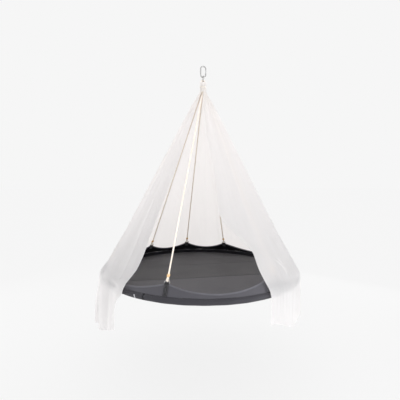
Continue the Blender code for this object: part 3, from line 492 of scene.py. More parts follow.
class Finish:
    """A material or a world under construction: adds nodes, links or sets their sockets."""

    def __init__(self, name, world=False):
        """An empty node tree with its output node."""
        self.owner = (bpy.data.worlds if world else bpy.data.materials).new(name)
        self.owner.use_nodes = True
        self.tree = self.owner.node_tree
        self.tree.nodes.clear()
        self.output = self.tree.nodes.new("ShaderNodeOutput" + ("World" if world else "Material"))

    def feed(self, socket, value):
        """Links a socket to another one, or sets its number or colour."""
        if isinstance(value, bpy.types.NodeSocket):
            self.tree.links.new(value, socket)
        else:
            socket.default_value = value

    def add(self, kind, settings=None, **sockets):
        """Adds a node; sockets are named with _ for a space, or in_0, in_1 and so on by their number."""
        made = self.tree.nodes.new("ShaderNode" + kind)
        for key, value in (settings or {}).items():
            setattr(made, key, value)
        for key, value in sockets.items():
            self.feed(made.inputs[int(key[3:]) if key.startswith("in_") else key.replace("_", " ")], value)
        return made

    def math(self, kind, *values, clamp=False):
        """One step of arithmetic."""
        sockets = {f"in_{place}": value for place, value in enumerate(values)}
        return self.add("Math", {"operation": kind, "use_clamp": clamp}, **sockets).outputs[0]

    def scaled(self, value, by, plus=None, clamp=False):
        """The value times by, and plus where that is given."""
        if plus is None:
            return self.math("MULTIPLY", value, by)
        return self.math("MULTIPLY_ADD", value, by, plus, clamp=clamp)

    def sine(self, value, by, plus=None):
        """The sine of a scaled value."""
        return self.math("SINE", self.scaled(value, by, plus))

    def cut(self):
        """The piece's own flat pattern in metres: x along and y across."""
        parts = self.add("SeparateXYZ", Vector=self.add("UVMap", {"uv_map": "cut"}).outputs[0])
        return parts.outputs[0], parts.outputs[1]

    def place(self):
        """The point in the object's own frame, in metres."""
        return self.add("TexCoord").outputs["Object"]

    def noise(self, vector, scale, detail=3.0, rough=0.55):
        """Cloudy noise with so many features to a metre of the vector."""
        return self.add("TexNoise", Vector=vector, Scale=scale, Detail=detail, Roughness=rough).outputs["Fac"]

    def grain(self, along_by, across_by):
        """Noise over the cut, with its own scale along it and across."""
        x, y = self.cut()
        place = self.add("CombineXYZ", X=self.scaled(x, along_by), Y=self.scaled(y, across_by))
        return self.noise(place.outputs[0], 1.0, 2.0)

    def blend(self, share, first, second):
        """A colour between two, by a share."""
        mixed = self.add("Mix", {"data_type": "RGBA", "clamp_factor": True}, Factor=share)
        self.feed(mixed.inputs[6], first)
        self.feed(mixed.inputs[7], second)
        return mixed.outputs[2]

    def spread(self, value, low, high, new_low=0.0, new_high=1.0):
        """The value's range from low to high laid on a new range, and held at its ends."""
        sockets = dict(in_0=value, in_1=low, in_2=high, in_3=new_low, in_4=new_high)
        return self.add("MapRange", **sockets).outputs[0]

    def bump(self, height, distance, strength=1.0, normal=None):
        """A normal tilted by a height, on top of another normal where one is given."""
        sockets = {"Height": height, "Distance": distance, "Strength": strength}
        if normal is not None:
            sockets["Normal"] = normal
        return self.add("Bump", **sockets).outputs[0]

    def coat(self, **sockets):
        """The main surface shader."""
        return self.add("BsdfPrincipled", **sockets).outputs[0]

    def mixed(self, share, first, second):
        """A shader between two, by a share."""
        return self.add("MixShader", in_0=share, in_1=first, in_2=second).outputs[0]

    def done(self, shader):
        """Gives the output its shader and hands back the material or world."""
        self.tree.links.new(shader, self.output.inputs["Surface"])
        return self.owner


# Half the width of the painted shadow along the floor's seam.
SEAM_SHADOW_HALF = 0.0055


def woven(
    name,
    colour,
    worn,
    sheen,
    pitch=0.0008,
    relief=0.00022,
    roughness=0.62,
    cloudiness=3.0,
    through=0.0,
    glow=None,
    gloss=0.3,
    front=None,
    rim_shade=None,
):
    """A woven cloth: threads at the pitch, the height sin(x) sin(y) over the cut, soft clouds between colour
    and worn, slubs along the threads, and that share of the light passing through. front is a place and two
    colours: the cloth nearer to the entrance than that place takes the first, painted light, and a band
    along that place takes the second, a painted shadow of the seam. The rim shade argument is two radii
    and a colour: painted shade that the cloth takes on from the first radius to the second."""
    finish = Finish(name)
    place = finish.place()
    x, y = finish.cut()
    clouds = finish.noise(place, cloudiness, 4.0)
    slubs = finish.grain(40.0, 900.0)
    weave = finish.scaled(finish.sine(x, math.pi / pitch), finish.sine(y, math.pi / pitch))
    tone = finish.scaled(slubs, 0.35, finish.scaled(clouds, 0.65))
    base = finish.blend(finish.spread(tone, 0.36, 0.62), linear(*colour), linear(*worn))
    if front:
        at, panel, tape = front
        depth = finish.add("SeparateXYZ", Vector=place).outputs[1]
        # Painted light: the cloth nearer the entrance than the seam is lighter. Painted shadow: a dark band
        # along the seam.
        base = finish.blend(finish.math("GREATER_THAN", depth, at), linear(*panel), base)
        base = finish.blend(finish.math("COMPARE", depth, at, SEAM_SHADOW_HALF), base, linear(*tape))
    if rim_shade:
        # Painted shade: the cloth darkens towards the rim, from the first radius to the second.
        near, far, shade = rim_shade
        level = finish.add("VectorMath", {"operation": "MULTIPLY"}, in_0=place, in_1=(1.0, 1.0, 0.0))
        reach = finish.add("VectorMath", {"operation": "LENGTH"}, in_0=level.outputs[0])
        base = finish.blend(finish.spread(reach.outputs["Value"], near, far), base, linear(*shade))
    soft = finish.bump(finish.noise(place, 55.0, 4.0, 0.6), relief * 2.5, 0.35)
    normal = finish.bump(finish.scaled(slubs, 0.5, weave), relief, 0.5, soft)
    surface = finish.coat(
        Base_Color=base,
        Roughness=finish.spread(clouds, 0.3, 0.7, roughness - 0.05, roughness + 0.05),
        Sheen_Weight=sheen,
        Sheen_Roughness=0.45,
        Specular_IOR_Level=gloss,
        Normal=normal,
    )
    if through:
        passed = finish.add("BsdfTranslucent", Color=linear(*glow), Normal=normal)
        surface = finish.mixed(through, surface, passed.outputs[0])
    return finish.done(surface)


def webbing_finish(name, colour, worn, rib, roughness):
    """A narrow tape woven in ribs: chevrons of the rib's pitch across it, with lighter worn threads."""
    finish = Finish(name)
    place = finish.place()
    x, y = finish.cut()
    slant = finish.math("ABSOLUTE", finish.sine(y, math.pi / (rib * 3.0)))
    ribs = finish.sine(finish.scaled(slant, rib * 1.5, x), 2.0 * math.pi / rib)
    fuzz = finish.noise(place, 900.0, 2.0)
    share = finish.spread(finish.scaled(ribs, 0.12, finish.noise(place, 40.0)), 0.35, 0.75)
    return finish.done(finish.coat(
        Base_Color=finish.blend(share, linear(*colour), linear(*worn)),
        Roughness=finish.spread(fuzz, 0.3, 0.7, roughness - 0.06, roughness + 0.06),
        Sheen_Weight=0.2,
        Specular_IOR_Level=0.35,
        Normal=finish.bump(finish.scaled(fuzz, 0.6, ribs), 0.00022, 0.7),
    ))


def rope_finish(name, colour, shade, fibre=0.0007):
    """Twisted yarn: fine fibres that run slantwise on the surface, painted darker between them as shade, with
    a little fluff."""
    finish = Finish(name)
    x, y = finish.cut()
    place = finish.place()
    fibres = finish.sine(finish.scaled(x, 0.55, y), 2.0 * math.pi / fibre)
    fluff = finish.noise(place, 1400.0, 2.0)
    clouds = finish.noise(place, 30.0)
    tone = finish.scaled(fibres, 0.10, finish.scaled(fluff, 0.5, finish.scaled(clouds, 0.5)))
    return finish.done(finish.coat(
        Base_Color=finish.blend(finish.spread(tone, 0.3, 0.7), linear(*shade), linear(*colour)),
        Roughness=finish.spread(fluff, 0.3, 0.7, 0.72, 0.86),
        Sheen_Weight=0.25,
        Sheen_Roughness=0.5,
        Specular_IOR_Level=0.25,
        Normal=finish.bump(finish.scaled(fluff, 0.5, fibres), 0.00018, 0.6),
    ))


def metal_finish(name, colour, dull, roughness, brush=0.6):
    """Plated or drawn metal: a fine grain, small dull spots and a slightly uneven gloss."""
    finish = Finish(name)
    place = finish.place()
    clouds = finish.noise(place, 90.0, 4.0)
    spots = finish.spread(finish.noise(place, 420.0), 0.62, 0.72, 0.0, 0.6)
    share = finish.scaled(clouds, 0.4, spots, clamp=True)
    wear = finish.math("ADD", clouds, spots)
    return finish.done(finish.coat(
        Base_Color=finish.blend(share, linear(*colour), linear(*dull)),
        Metallic=1.0,
        Roughness=finish.spread(wear, 0.3, 1.1, roughness - 0.06, roughness + 0.18),
        Normal=finish.bump(finish.noise(place, 1600.0, 2.0), 0.00004, brush),
    ))


def wood_finish(name, pale, ring, pore):
    """Turned wood: growth rings cut lengthwise, short dark flecks along the grain and a satin oil finish."""
    finish = Finish(name)
    wander = finish.noise(finish.place(), 60.0)
    bands = finish.sine(wander, 9.0, finish.scaled(finish.cut()[1], 900.0))
    flecks = finish.spread(finish.grain(500.0, 2600.0), 0.60, 0.70, 0.0, 0.7)
    grain = finish.blend(finish.spread(bands, -1.0, 1.0), linear(*pale), linear(*ring))
    return finish.done(finish.coat(
        Base_Color=finish.blend(flecks, grain, linear(*pore)),
        Roughness=finish.spread(wander, 0.3, 0.7, 0.42, 0.55),
        Specular_IOR_Level=0.4,
        Normal=finish.bump(finish.scaled(bands, 0.15, finish.scaled(flecks, -1.0)), 0.00006, 0.6),
    ))


def thread_finish(name, colour):
    """Sewing thread: a fine twist along the stitch."""
    finish = Finish(name)
    fuzz = finish.noise(finish.place(), 2400.0, 2.0)
    lit = linear(*colour)
    shaded = tuple(0.7 * value for value in lit[:3]) + (1.0,)
    return finish.done(finish.coat(
        Base_Color=finish.blend(finish.spread(fuzz, 0.3, 0.7, 0.0, 0.35), lit, shaded),
        Roughness=0.6,
        Normal=finish.bump(fuzz, 0.00005, 0.6),
    ))


FLOOR_SEAMS = (-0.160, 0.246, 0.420)

charcoal = woven("charcoal_cloth", (74, 73, 79), (68, 67, 73), 0.18)
# The hem's cloth is the wall's charcoal painted darker: painted shade for the sleeve's shaded underside.
hem_cloth_painted_shade = woven("charcoal_hem_painted_shade", (52, 51, 57), (46, 45, 51), 0.14)
# The floor's front part is painted lighter for the light on the near floor, with a painted seam shadow and
# painted shade darkening towards the rim.
floor_grey = woven(
    "charcoal_floor",
    (45, 44, 48),
    (41, 40, 44),
    0.12,
    front=(FLOOR_SEAMS[0], (62, 61, 66), (20, 20, 23)),
    rim_shade=(0.600, 0.690, (28, 27, 31)),
)
# Near-black cloth for the wall's inner side and the floor's rim band: painted shade for the dark band inside
# the back wall and along the floor's rim.
lining_painted_shade = woven("black_lining", (21, 21, 25), (26, 26, 30), 0.0, 0.0006, 0.00012, 0.75, 6.0, gloss=0.08)
tape_grey = webbing_finish("grey_tape", (80, 79, 85), (94, 93, 100), 0.0012, 0.62)
webbing = webbing_finish("black_webbing", (24, 23, 27), (36, 35, 39), 0.0022, 0.66)
tab_grey = webbing_finish("pale_tab", (168, 168, 172), (184, 184, 187), 0.0010, 0.60)
voile = woven(
    "white_cloth",
    (251, 252, 254),
    (249, 250, 252),
    0.10,
    0.0007,
    0.00010,
    0.80,
    through=0.77,
    glow=(253, 251, 250),
)
rope_white = rope_finish("white_rope", (246, 239, 231), (226, 213, 198))
twine_white = rope_finish("white_twine", (244, 240, 234), (226, 219, 208), fibre=0.0004)
steel = metal_finish("zinc_plated_steel", (204, 203, 202), (150, 150, 152), 0.28)
bright_steel = metal_finish("bright_steel", (214, 214, 214), (168, 168, 170), 0.16, 0.3)
aluminium = metal_finish("pole_aluminium", (96, 96, 100), (80, 80, 84), 0.38)
beech = wood_finish("beech", (228, 196, 148), (213, 176, 126), (168, 126, 82))
dark_thread = thread_finish("charcoal_thread", (74, 73, 78))
pale_thread = thread_finish("grey_thread", (128, 127, 132))
white_thread = thread_finish("white_thread", (238, 236, 236))


# Crown: hook, rigging ring, core rope, whipping and collar

def make_hook():
    """The hook's bar, drawn as one line: up from the fork, round the low bend, up the back, round the top
    bend and down to the nose, and its two fork cheeks, round outside and flat inside."""
    turn = np.linspace(0.0, math.pi, 40)
    low = joined(hook_half * np.cos(turn), 0.0, low_bend_z - hook_half * np.sin(turn))
    top = joined(-hook_half * np.cos(turn), 0.0, top_bend_z + hook_half * np.sin(turn))
    back = joined(-hook_half, 0.0, np.linspace(low_bend_z, top_bend_z, 12)[1:-1])
    line = np.concatenate([low, back, top, [[hook_half, 0.0, nose_z]]])
    moved = np.linalg.norm(np.diff(line, axis=0), axis=-1) > 1e-6
    bar = round_bar("hook_bar", line[np.append(True, moved)], hook_rod, Y_AXIS, steel)
    cheeks = []
    inside = GATE_TONGUE / 2 + GAP
    reach = math.acos(inside / hook_rod)
    arc = np.linspace(-reach, reach, 13)
    chord = np.linspace(1.0, -1.0, 7)[1:-1] * hook_rod * math.sin(reach)
    end = pivot_z + GATE_RADIUS
    heights = np.array([low_bend_z - 0.002, pivot_z, end - 0.0012, end - 0.0003, end])
    shrink = np.array([1.0, 1.0, 1.0, 0.95, 0.88])
    for sign, label in ((1.0, "near"), (-1.0, "far")):
        outside = joined(hook_rod * np.sin(arc), -sign * hook_rod * np.cos(arc))
        section = np.concatenate([outside, joined(chord, -sign * inside)])
        middle = section.mean(axis=0)
        rings = middle + (section - middle) * shrink[:, None, None]
        grid = joined(hook_half + rings[..., 0], rings[..., 1], heights[:, None])
        cheeks.append(tube(f"hook_cheek_{label}", grid, steel))
    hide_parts("hook_body")
    settle([bar, *cheeks], "hook")


def make_gate():
    """The gate's barrel, turned with a rounded tip and foot, on a flat tongue with a round knuckle."""
    foot = pivot_z + GATE_RADIUS + 0.0018
    tip = nose_z - 0.0006
    round_by, chamfer, bore, axis_hole = 0.0007, 0.0002, 0.0022, 0.0001
    profile = [
        (axis_hole, tip - 0.0012),
        (bore, tip - 0.0012),
        (bore, tip - chamfer),
        (bore + chamfer, tip),
        (GATE_RADIUS - round_by, tip),
        (GATE_RADIUS - chamfer, tip - chamfer),
        (GATE_RADIUS, tip - round_by),
        (GATE_RADIUS, foot + round_by),
        (GATE_RADIUS - chamfer, foot + chamfer),
        (GATE_RADIUS - round_by, foot),
        (axis_hole, foot),
    ]
    barrel = turned("gate_barrel", profile, X_AXIS * hook_half, Z_AXIS, X_AXIS, bright_steel)
    half = GATE_TONGUE / 2
    reach = GATE_RADIUS * 0.96
    turn = np.linspace(math.pi, 2.0 * math.pi, 25)
    top = foot + 0.0006
    knuckle = joined(reach * np.cos(turn), pivot_z + GATE_RADIUS * np.sin(turn))
    outline = np.concatenate([knuckle, [[reach, top], [-reach, top]]])
    middle = outline.mean(axis=0)
    across = np.array([-half, -half + 0.0003, half - 0.0003, half])
    rings = middle + (outline - middle) * np.array([0.93, 1.0, 1.0, 0.93])[:, None, None]
    tongue = tube("gate_tongue", joined(hook_half + rings[..., 0], across[:, None], rings[..., 1]), steel)
    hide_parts("hook_gate")
    settle([barrel, tongue], "gate")


def make_rigging_ring():
    """A welded round ring: a circle of bar, a touch thicker at the weld: r (1 + 0.04 bell) at its side."""
    line = loop_line(Z_AXIS * rig_centre_z, Y_AXIS, Z_AXIS, RIG_INNER_RADIUS + RIG_ROD / 2, 96)
    weld = 1.0 + 0.04 * bump_at(full_turn(96), math.pi, 0.09)
    ring = round_bar("rigging_ring_bar", line, RIG_ROD / 2 * weld, X_AXIS, steel, closed=True)
    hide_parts("rigging_ring")
    settle([ring], "ring")


STRAND_COUNT = 3
STRAND_OUT = 0.235
STRAND_RADIUS = 0.265


def strands(line, flat, diameter, lay, sides=18, start=0.0, closed=False):
    """A laid rope's surface: the outline of three round strands about the centre, turned once in each lay.
    A strand's middle lies 0.235 diameters out and its radius is 0.265 diameters, so that the outline at an
    angle a from the nearest strand is c cos a + sqrt(s^2 - c^2 sin^2 a)."""
    out, strand = STRAND_OUT * diameter, STRAND_RADIUS * diameter
    turn = full_turn(sides)
    run = along(line)
    if closed:
        total = run[-1] + np.linalg.norm(line[0] - line[-1])
        lay = total / max(1, round(total / lay))
    step = 2.0 * math.pi / STRAND_COUNT
    near = (turn + step / 2) % step - step / 2
    radius = out * np.cos(near) + np.sqrt(np.maximum(strand**2 - (out * np.sin(near)) ** 2, 0.0))
    angle = turn[None] + (2.0 * math.pi * run / lay + start)[:, None]
    return carried(line, joined(np.cos(angle), np.sin(angle)) * radius[None, :, None], flat, closed)


def whipping_surface(line, radius, twine):
    """Twine wound round a bundle: radius plus half a twine times |sin| of the winding, one turn to a
    twine."""
    line = respaced(line, max(12, int(along(line)[-1] / twine * 8)))
    run = along(line)
    turn = full_turn(36)
    wind = math.pi * run[:, None] / twine - turn[None] / 2.0
    edge = np.sqrt(np.clip(np.minimum(run, run[::-1]) / (twine * 0.8), 0.0, 1.0))[:, None]
    ring = radius + twine * (0.2 + 0.8 * np.abs(np.sin(wind))) * (0.4 + 0.6 * edge)
    return carried(line, circle(36)[None] * ring[..., None], Y_AXIS)


def make_crown():
    """The core rope, fat in the bundle, with the spliced eye that hangs on the ring."""
    core_radius = bundle_radius - ROPE_RADIUS - GAP
    top = crown_eye_z - CROWN_EYE_INNER_RADIUS - ROPE_RADIUS * 0.6
    grid = strands(upright(top, fan_z, 120), Y_AXIS, 2.0 * core_radius, 0.040, sides=24)
    core = tube("crown_core_rope", grid, rope_white)
    line = loop_line(Z_AXIS * crown_eye_z, X_AXIS, Z_AXIS, CROWN_EYE_INNER_RADIUS + ROPE_RADIUS, 120)
    grid = strands(line, Y_AXIS, ROPE_DIAMETER, 0.024, closed=True)
    eye = tube("crown_eye_rope", grid, rope_white, closed=True)
    wound = whipping_surface(upright(top + 0.006, top - 0.006, 30), core_radius + 0.0003, 0.0011)
    band = tube("crown_eye_whipping", wound, twine_white)
    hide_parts("crown_core")
    settle([core, eye, band], "hammock")


def make_whipping():
    """The twine band that binds the seven ropes to the core."""
    line = upright(bed_z + WHIPPING_TOP, bed_z + WHIPPING_FOOT, 2)
    band = tube("rope_whipping", whipping_surface(line, whipping_radius - BINDING_TWINE, 0.0016), twine_white)
    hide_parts("whipping")
    settle([band], "hammock")


def make_collar():
    """The canopy's collar: a gathered sleeve, r = R + 1.0 mm |sin| of 26 small pleats, drawn in by its tie,
    with a small frill above it. The tie goes round twice and ends in a trefoil knot with two tails."""
    heights = np.linspace(COLLAR_TOP, COLLAR_FOOT, 70)
    turn = np.radians(bearings(208))
    waist = (COLLAR_TOP + COLLAR_FOOT) / 2
    pull = bump_at(heights, waist, 0.0045)[:, None]
    frill = smooth_step((heights - waist - 0.010) / 0.026)[:, None]
    pleats = np.abs(np.sin(turn * 13.0 + 0.6 * np.sin(turn * 3.0)))[None]
    radius = collar_radius - CANOPY_CLOTH / 2 - COLLAR_WAIST_IN * pull
    radius = radius + (0.0010 + 0.0012 * frill) * pleats * (1.0 - 0.7 * pull)
    radius = radius + 0.0004 * ripple(turn[None] * 2.0, heights[:, None] * 30.0, 5, 7, 0.5, 1.6)
    grid = around(bearings(208)[:, None], radius.T, bed_z + heights[None])
    uv = joined(turn[:, None] * collar_radius, heights[None])
    collar = cloth("canopy_collar_cloth", grid, uv, CANOPY_CLOTH * 0.8, voile, wrap=True)
    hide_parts("canopy_collar")
    tie_radius = collar_radius - COLLAR_WAIST_IN + GAP + COLLAR_TIE / 2
    tie_z = bed_z + waist
    run = np.linspace(0.0, 2.0 * 2.0 * math.pi, 220)
    rise = np.linspace(-0.0017, 0.0017, 220)
    coil = joined(tie_radius * np.sin(run), -tie_radius * np.cos(run), tie_z + rise)
    tie = tube("collar_tie_cord", strands(coil, Z_AXIS, COLLAR_TIE * 0.97, 0.012, sides=12), twine_white)
    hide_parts("collar_tie")
    knot_at = np.array([0.0, -tie_radius - 0.0012, tie_z])
    aside, thin, lay = (0.0, 1.0, 0.2), 0.0026, 0.010
    turn = full_turn(120)
    trefoil = joined(
        0.0024 * (np.sin(turn) + 1.2 * np.sin(2.0 * turn)),
        -0.0012 * np.sin(3.0 * turn) - 0.0004,
        0.0024 * (np.cos(turn) - 1.2 * np.cos(2.0 * turn)),
    )
    grid = strands(knot_at + trefoil, aside, thin, lay, sides=12, closed=True)
    knot = tube("collar_tie_knot", grid, twine_white, closed=True)
    tails = []
    for sign, label in ((1.0, "right"), (-1.0, "left")):
        fall = np.linspace(0.0, 1.0, 40)
        tail = joined(
            sign * (0.003 + 0.006 * np.sin(fall * 2.2)),
            -0.0008 - 0.0022 * np.sin(fall * 3.1) - 0.002 * fall,
            -0.026 * fall,
        )
        grid = strands(knot_at + tail, aside, thin, lay, sides=12)
        tails.append(tube(f"collar_tie_tail_{label}", grid, twine_white))
    settle([collar], "hammock")
    settle([tie, knot, *tails], "hammock")


# Ropes, stops and D-rings

ROPE_ROWS = 860
ROPE_BEND_ROWS = 40


def bundle_bearing(bearing):
    """Bearing of a rope in the bundle, where the seven lie evenly round the core."""
    order = sorted(ROPES.values(), key=lambda turn: turn % 360.0)
    return 180.0 + (order.index(bearing) - order.index(180.0)) * 360.0 / len(order)


def rope_line(bearing):
    """The foot at the D-ring's bar, the unit direction and the length of a rope's straight run."""
    foot = around(bearing, bar_radius_from_axis, bar_z)
    head = around(bundle_bearing(bearing), bundle_radius, fan_z)
    return foot, unit(head - foot), float(np.linalg.norm(head - foot))


def make_rope(side, bearing):
    """A three-strand rope: upright in the bundle, straight down to its eye, with the corner between them worn
    round, and the eye itself, a small loop of the same rope round the D-ring's wire."""
    foot, run, length = rope_line(bearing)
    start = eye_centre + EYE_INNER_RADIUS + ROPE_RADIUS * 0.6
    top = around(bundle_bearing(bearing), bundle_radius, bed_z + BUNDLE_HEIGHT)
    head = foot + run * length
    straight = foot + run * np.linspace(start, length, ROPE_ROWS)[:, None]
    bundled = head + (top - head) * np.linspace(0.0, 1.0, 34)[1:, None]
    line = np.concatenate([straight, bundled])
    bend = ROPE_ROWS - ROPE_BEND_ROWS
    line[bend:] = rounded(line[bend:], len(line) - bend, 24)
    side_way = around(bearing + 90.0, 1.0, 0.0)
    grid = strands(line, side_way, ROPE_DIAMETER, 0.034, start=math.radians(bearing))
    rope = tube(f"rope_{side}_laid", grid, rope_white)
    across = side_way - (side_way @ run) * run
    up = unit(np.cross(across, run))
    eye_line = loop_line(foot + run * eye_centre, run, up, EYE_INNER_RADIUS + ROPE_RADIUS, 90)
    eye_grid = strands(eye_line, unit(across), ROPE_DIAMETER, 0.022, closed=True)
    eye = tube(f"rope_{side}_eye", eye_grid, rope_white, closed=True)
    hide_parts(f"rope_{side}")
    settle([rope, eye], "hammock")


def make_stop(side, bearing):
    """A turned wooden stop: a bored ball, r = R cos t, with softened bore mouths."""
    foot, run, _ = rope_line(bearing)
    outer, half, soft = BEAD_DIAMETER / 2, BEAD_LENGTH / 2, 0.0004
    top = math.acos((BEAD_BORE + 0.0012) / outer)
    turn = np.linspace(top, -top, 25)
    ball = joined(outer * np.cos(turn), half * np.sin(turn) / math.sin(top))
    mouth = BEAD_BORE + soft
    lip = [(mouth, -half), (BEAD_BORE, soft - half), (BEAD_BORE, half - soft), (mouth, half)]
    centre = foot + run * (bead_foot + half)
    profile = np.concatenate([ball, lip])
    out = around(bearing, 1.0, 0.0)
    stop = turned(f"stop_{side}_ball", profile, centre, run, out, beech, 40, closed=True)
    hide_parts(f"stop_{side}")
    settle([stop], f"stop_{side}")


def make_d_ring(side, bearing):
    """A D-ring of round wire: a straight bar, two short sides and a half circle, with bent corners."""
    foot, run, _ = rope_line(bearing)
    across = around(bearing + 90.0, 1.0, 0.0)
    up = unit(run - (run @ across) * across)
    turn = np.linspace(0.0, math.pi, 30)
    bow = joined(ring_half * np.cos(turn), RING_SIDE + ring_half * np.sin(turn))
    bar = np.array([[-ring_half, 0.0], [ring_half, 0.0]])
    flat = respaced(np.concatenate([bar, bow, bar[:1]]), 121)[:-1]
    for _ in range(3):
        flat = (np.roll(flat, 1, axis=0) + 2.0 * flat + np.roll(flat, -1, axis=0)) / 4.0
    line = foot + flat[:, :1] * across + flat[:, 1:] * up
    flat_way = np.cross(across, up)
    wire = round_bar(f"d_ring_{side}_wire", line, RING_WIRE / 2, flat_way, steel, closed=True, sides=18)
    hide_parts(f"d_ring_{side}")
    settle([wire], f"d_ring_{side}")


STRAP_OFFSETS = np.array([-1.0, -0.93, -0.8, -0.4, 0.0, 0.4, 0.8, 0.93, 1.0])
STRAP_SHARES = np.array([0.7, 0.92, 1.0, 1.0, 1.0, 1.0, 1.0, 0.92, 0.7])


def make_strap(side, bearing):
    """Webbing round the D-ring's bar: up the wall outside, round the bar in a half circle and down inside. It
    is sewn through the wall with a box and a cross on each leg."""
    lean = np.array([-math.sin(lean_in), math.cos(lean_in)])
    outer = np.array([lean[1], -lean[0]])
    bar = np.array([bar_radius_from_axis, bar_z])
    long_leg = (bar_z - bed_z - HEM_HEIGHT - STRAP_FOOT_ABOVE_HEM) / lean[1]
    turn = np.linspace(0.0, math.pi, 15)[:, None]
    outside = bar + outer * loop_radius - lean * np.linspace(long_leg, 0.0, 24)[:-1, None]
    fold = bar + outer * loop_radius * np.cos(turn) + lean * loop_radius * np.sin(turn)
    inside = bar - outer * loop_radius - lean * np.linspace(0.0, STRAP_INSIDE_LENGTH, 12)[1:, None]
    flat = np.concatenate([outside, fold, inside])
    across = around(bearing + 90.0, 1.0, 0.0)
    line = around(bearing, flat[:, 0], flat[:, 1])
    offset = STRAP_OFFSETS * STRAP_WIDTH / 2
    grid = line[:, None] + across * offset[:, None]
    uv = joined(along(line)[:, None], offset[None])
    strap = cloth(f"strap_{side}_webbing", grid, uv, STRAP_THICKNESS * STRAP_SHARES[None], webbing)
    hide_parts(f"strap_{side}")
    lines = []
    reach = STRAP_WIDTH / 2 - 0.004
    for face, near, far in ((outer, 0.014, long_leg - 0.006), (-outer, 0.016, STRAP_INSIDE_LENGTH - 0.003)):
        corners = np.array([(-reach, near), (reach, near), (reach, far), (-reach, far)])
        normal = around(bearing, face[0], face[1])
        for picks in ([0, 1, 2, 3, 0], [0, 2], [1, 3]):
            seam = corners[picks]
            at = bar + face * (loop_radius + STRAP_THICKNESS / 2) - lean * seam[:, 1:]
            points = around(bearing, at[:, 0], at[:, 1]) + across * seam[:, :1]
            lines.append((respaced(points, 80), normal))
    sewn = stitches(f"strap_{side}_stitches", lines, pale_thread, length=0.0026, pitch=0.0038)
    settle([strap, sewn], "hammock")


# Bed: floor, wall, edge tape and hem

def scallop_edge(bearing):
    """Height of the wall's edge: flat at each rope, and between two ropes the parabola peak - 4 d s (1 - s).
    The front one is back at its peak's height at 0.90 of the way."""
    half = math.degrees((STRAP_WIDTH / 2 + STRAP_MARGIN) / PEAK_RADIUS)
    turn = (bearing + 150.0) % 360.0 - 150.0
    height = np.full(np.shape(turn), PEAK_HEIGHT)
    for start, end, dip, reach in SCALLOPS:
        share = np.clip((turn - start - half) / (end - start - 2.0 * half) / reach, 0.0, 1.0)
        inside = (turn >= start) & (turn <= end)
        height = np.where(inside, PEAK_HEIGHT - dip * 4.0 * share * (1.0 - share), height)
    return height


def wall_radius(height, bearing, share):
    """Radius of the wall's middle: a straight lean from the hem to the peaks, and small waves of its cloth,
    none at the hem and up to 1 mm at the edge."""
    lean = pole_ring_radius + wall_slope * (height - HEM_HEIGHT)
    return lean + 0.0009 * share * ripple(np.radians(bearing) * 4.0, share * 0.4, 11, 9, 0.3, 1.7)


def make_wall():
    """The wall: radius from the lean and height from the hem's neck to the scalloped edge, over the bearing,
    and the tape folded over its edge."""
    bearing = bearings(720)
    turn = np.radians(bearing)[:, None]
    edge = scallop_edge(bearing)
    share = np.linspace(0.0, 1.0, 15)[None]
    foot = HEM_HEIGHT + GAP + 0.0006
    height = foot + share * (edge[:, None] - foot)
    grid = around(bearing[:, None], wall_radius(height, bearing[:, None], share), bed_z + height)
    # The wall's inner side takes the near-black cloth, painted shade for the dark inside of the wall.
    wall = cloth("wall_cloth", grid, joined(turn * 0.72, height), CLOTH, [charcoal, lining_painted_shade], wrap=True)
    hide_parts("bed_wall")
    lean = unit(np.array([wall_slope, 1.0]))
    side = np.array([lean[1], -lean[0]])
    tape = (BINDING_THICKNESS - CLOTH) / 2 - GAP
    half = CLOTH / 2 + GAP + tape / 2
    over = np.linspace(0.0, math.pi, 9)
    leg = np.linspace(-BINDING_WIDTH, -0.001, 4)
    across = np.concatenate([np.full(4, half), half * np.cos(over), np.full(4, -half)])
    up = np.concatenate([leg, 0.4 * half * np.sin(over), leg[::-1]])
    base = joined(wall_radius(edge, bearing, 1.0), edge)
    at = base[:, None] + side * across[None, :, None] + lean * up[None, :, None]
    grid = around(bearing[:, None], at[..., 0], bed_z + at[..., 1])
    uv = joined(turn * PEAK_RADIUS, np.cumsum(np.hypot(np.gradient(across), np.gradient(up)))[None])
    binding = cloth("edge_tape", grid, uv, tape, tape_grey, wrap=True)
    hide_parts("edge_binding")
    lines = []
    closed = np.append(np.arange(len(bearing)), 0)
    for sign in (1.0, -1.0):
        at = base + side * sign * (half + tape / 2) - lean * (BINDING_WIDTH - 0.0016)
        points = around(bearing, at[:, 0], bed_z + at[:, 1])
        normal = around(bearing, side[0] * sign, side[1] * sign)
        lines.append((points[closed], normal[closed]))
    sewn = stitches("edge_tape_stitches", lines, dark_thread, pitch=0.0048)
    settle([wall, binding, sewn], "hammock")


HEM_SLACK = 1.45
TAB_BEARING = -46.6
TAB_TURN = 0.35
TAB_LIFT = 0.0013


def hem_rise(turn, radius):
    """Height on the hem's section over its middle: radius sin t, and 0.45 more of it below, where the
    gathered cloth hangs slack under the pole."""
    rise = radius * np.sin(turn)
    return np.where(rise < 0.0, HEM_SLACK * rise, rise)


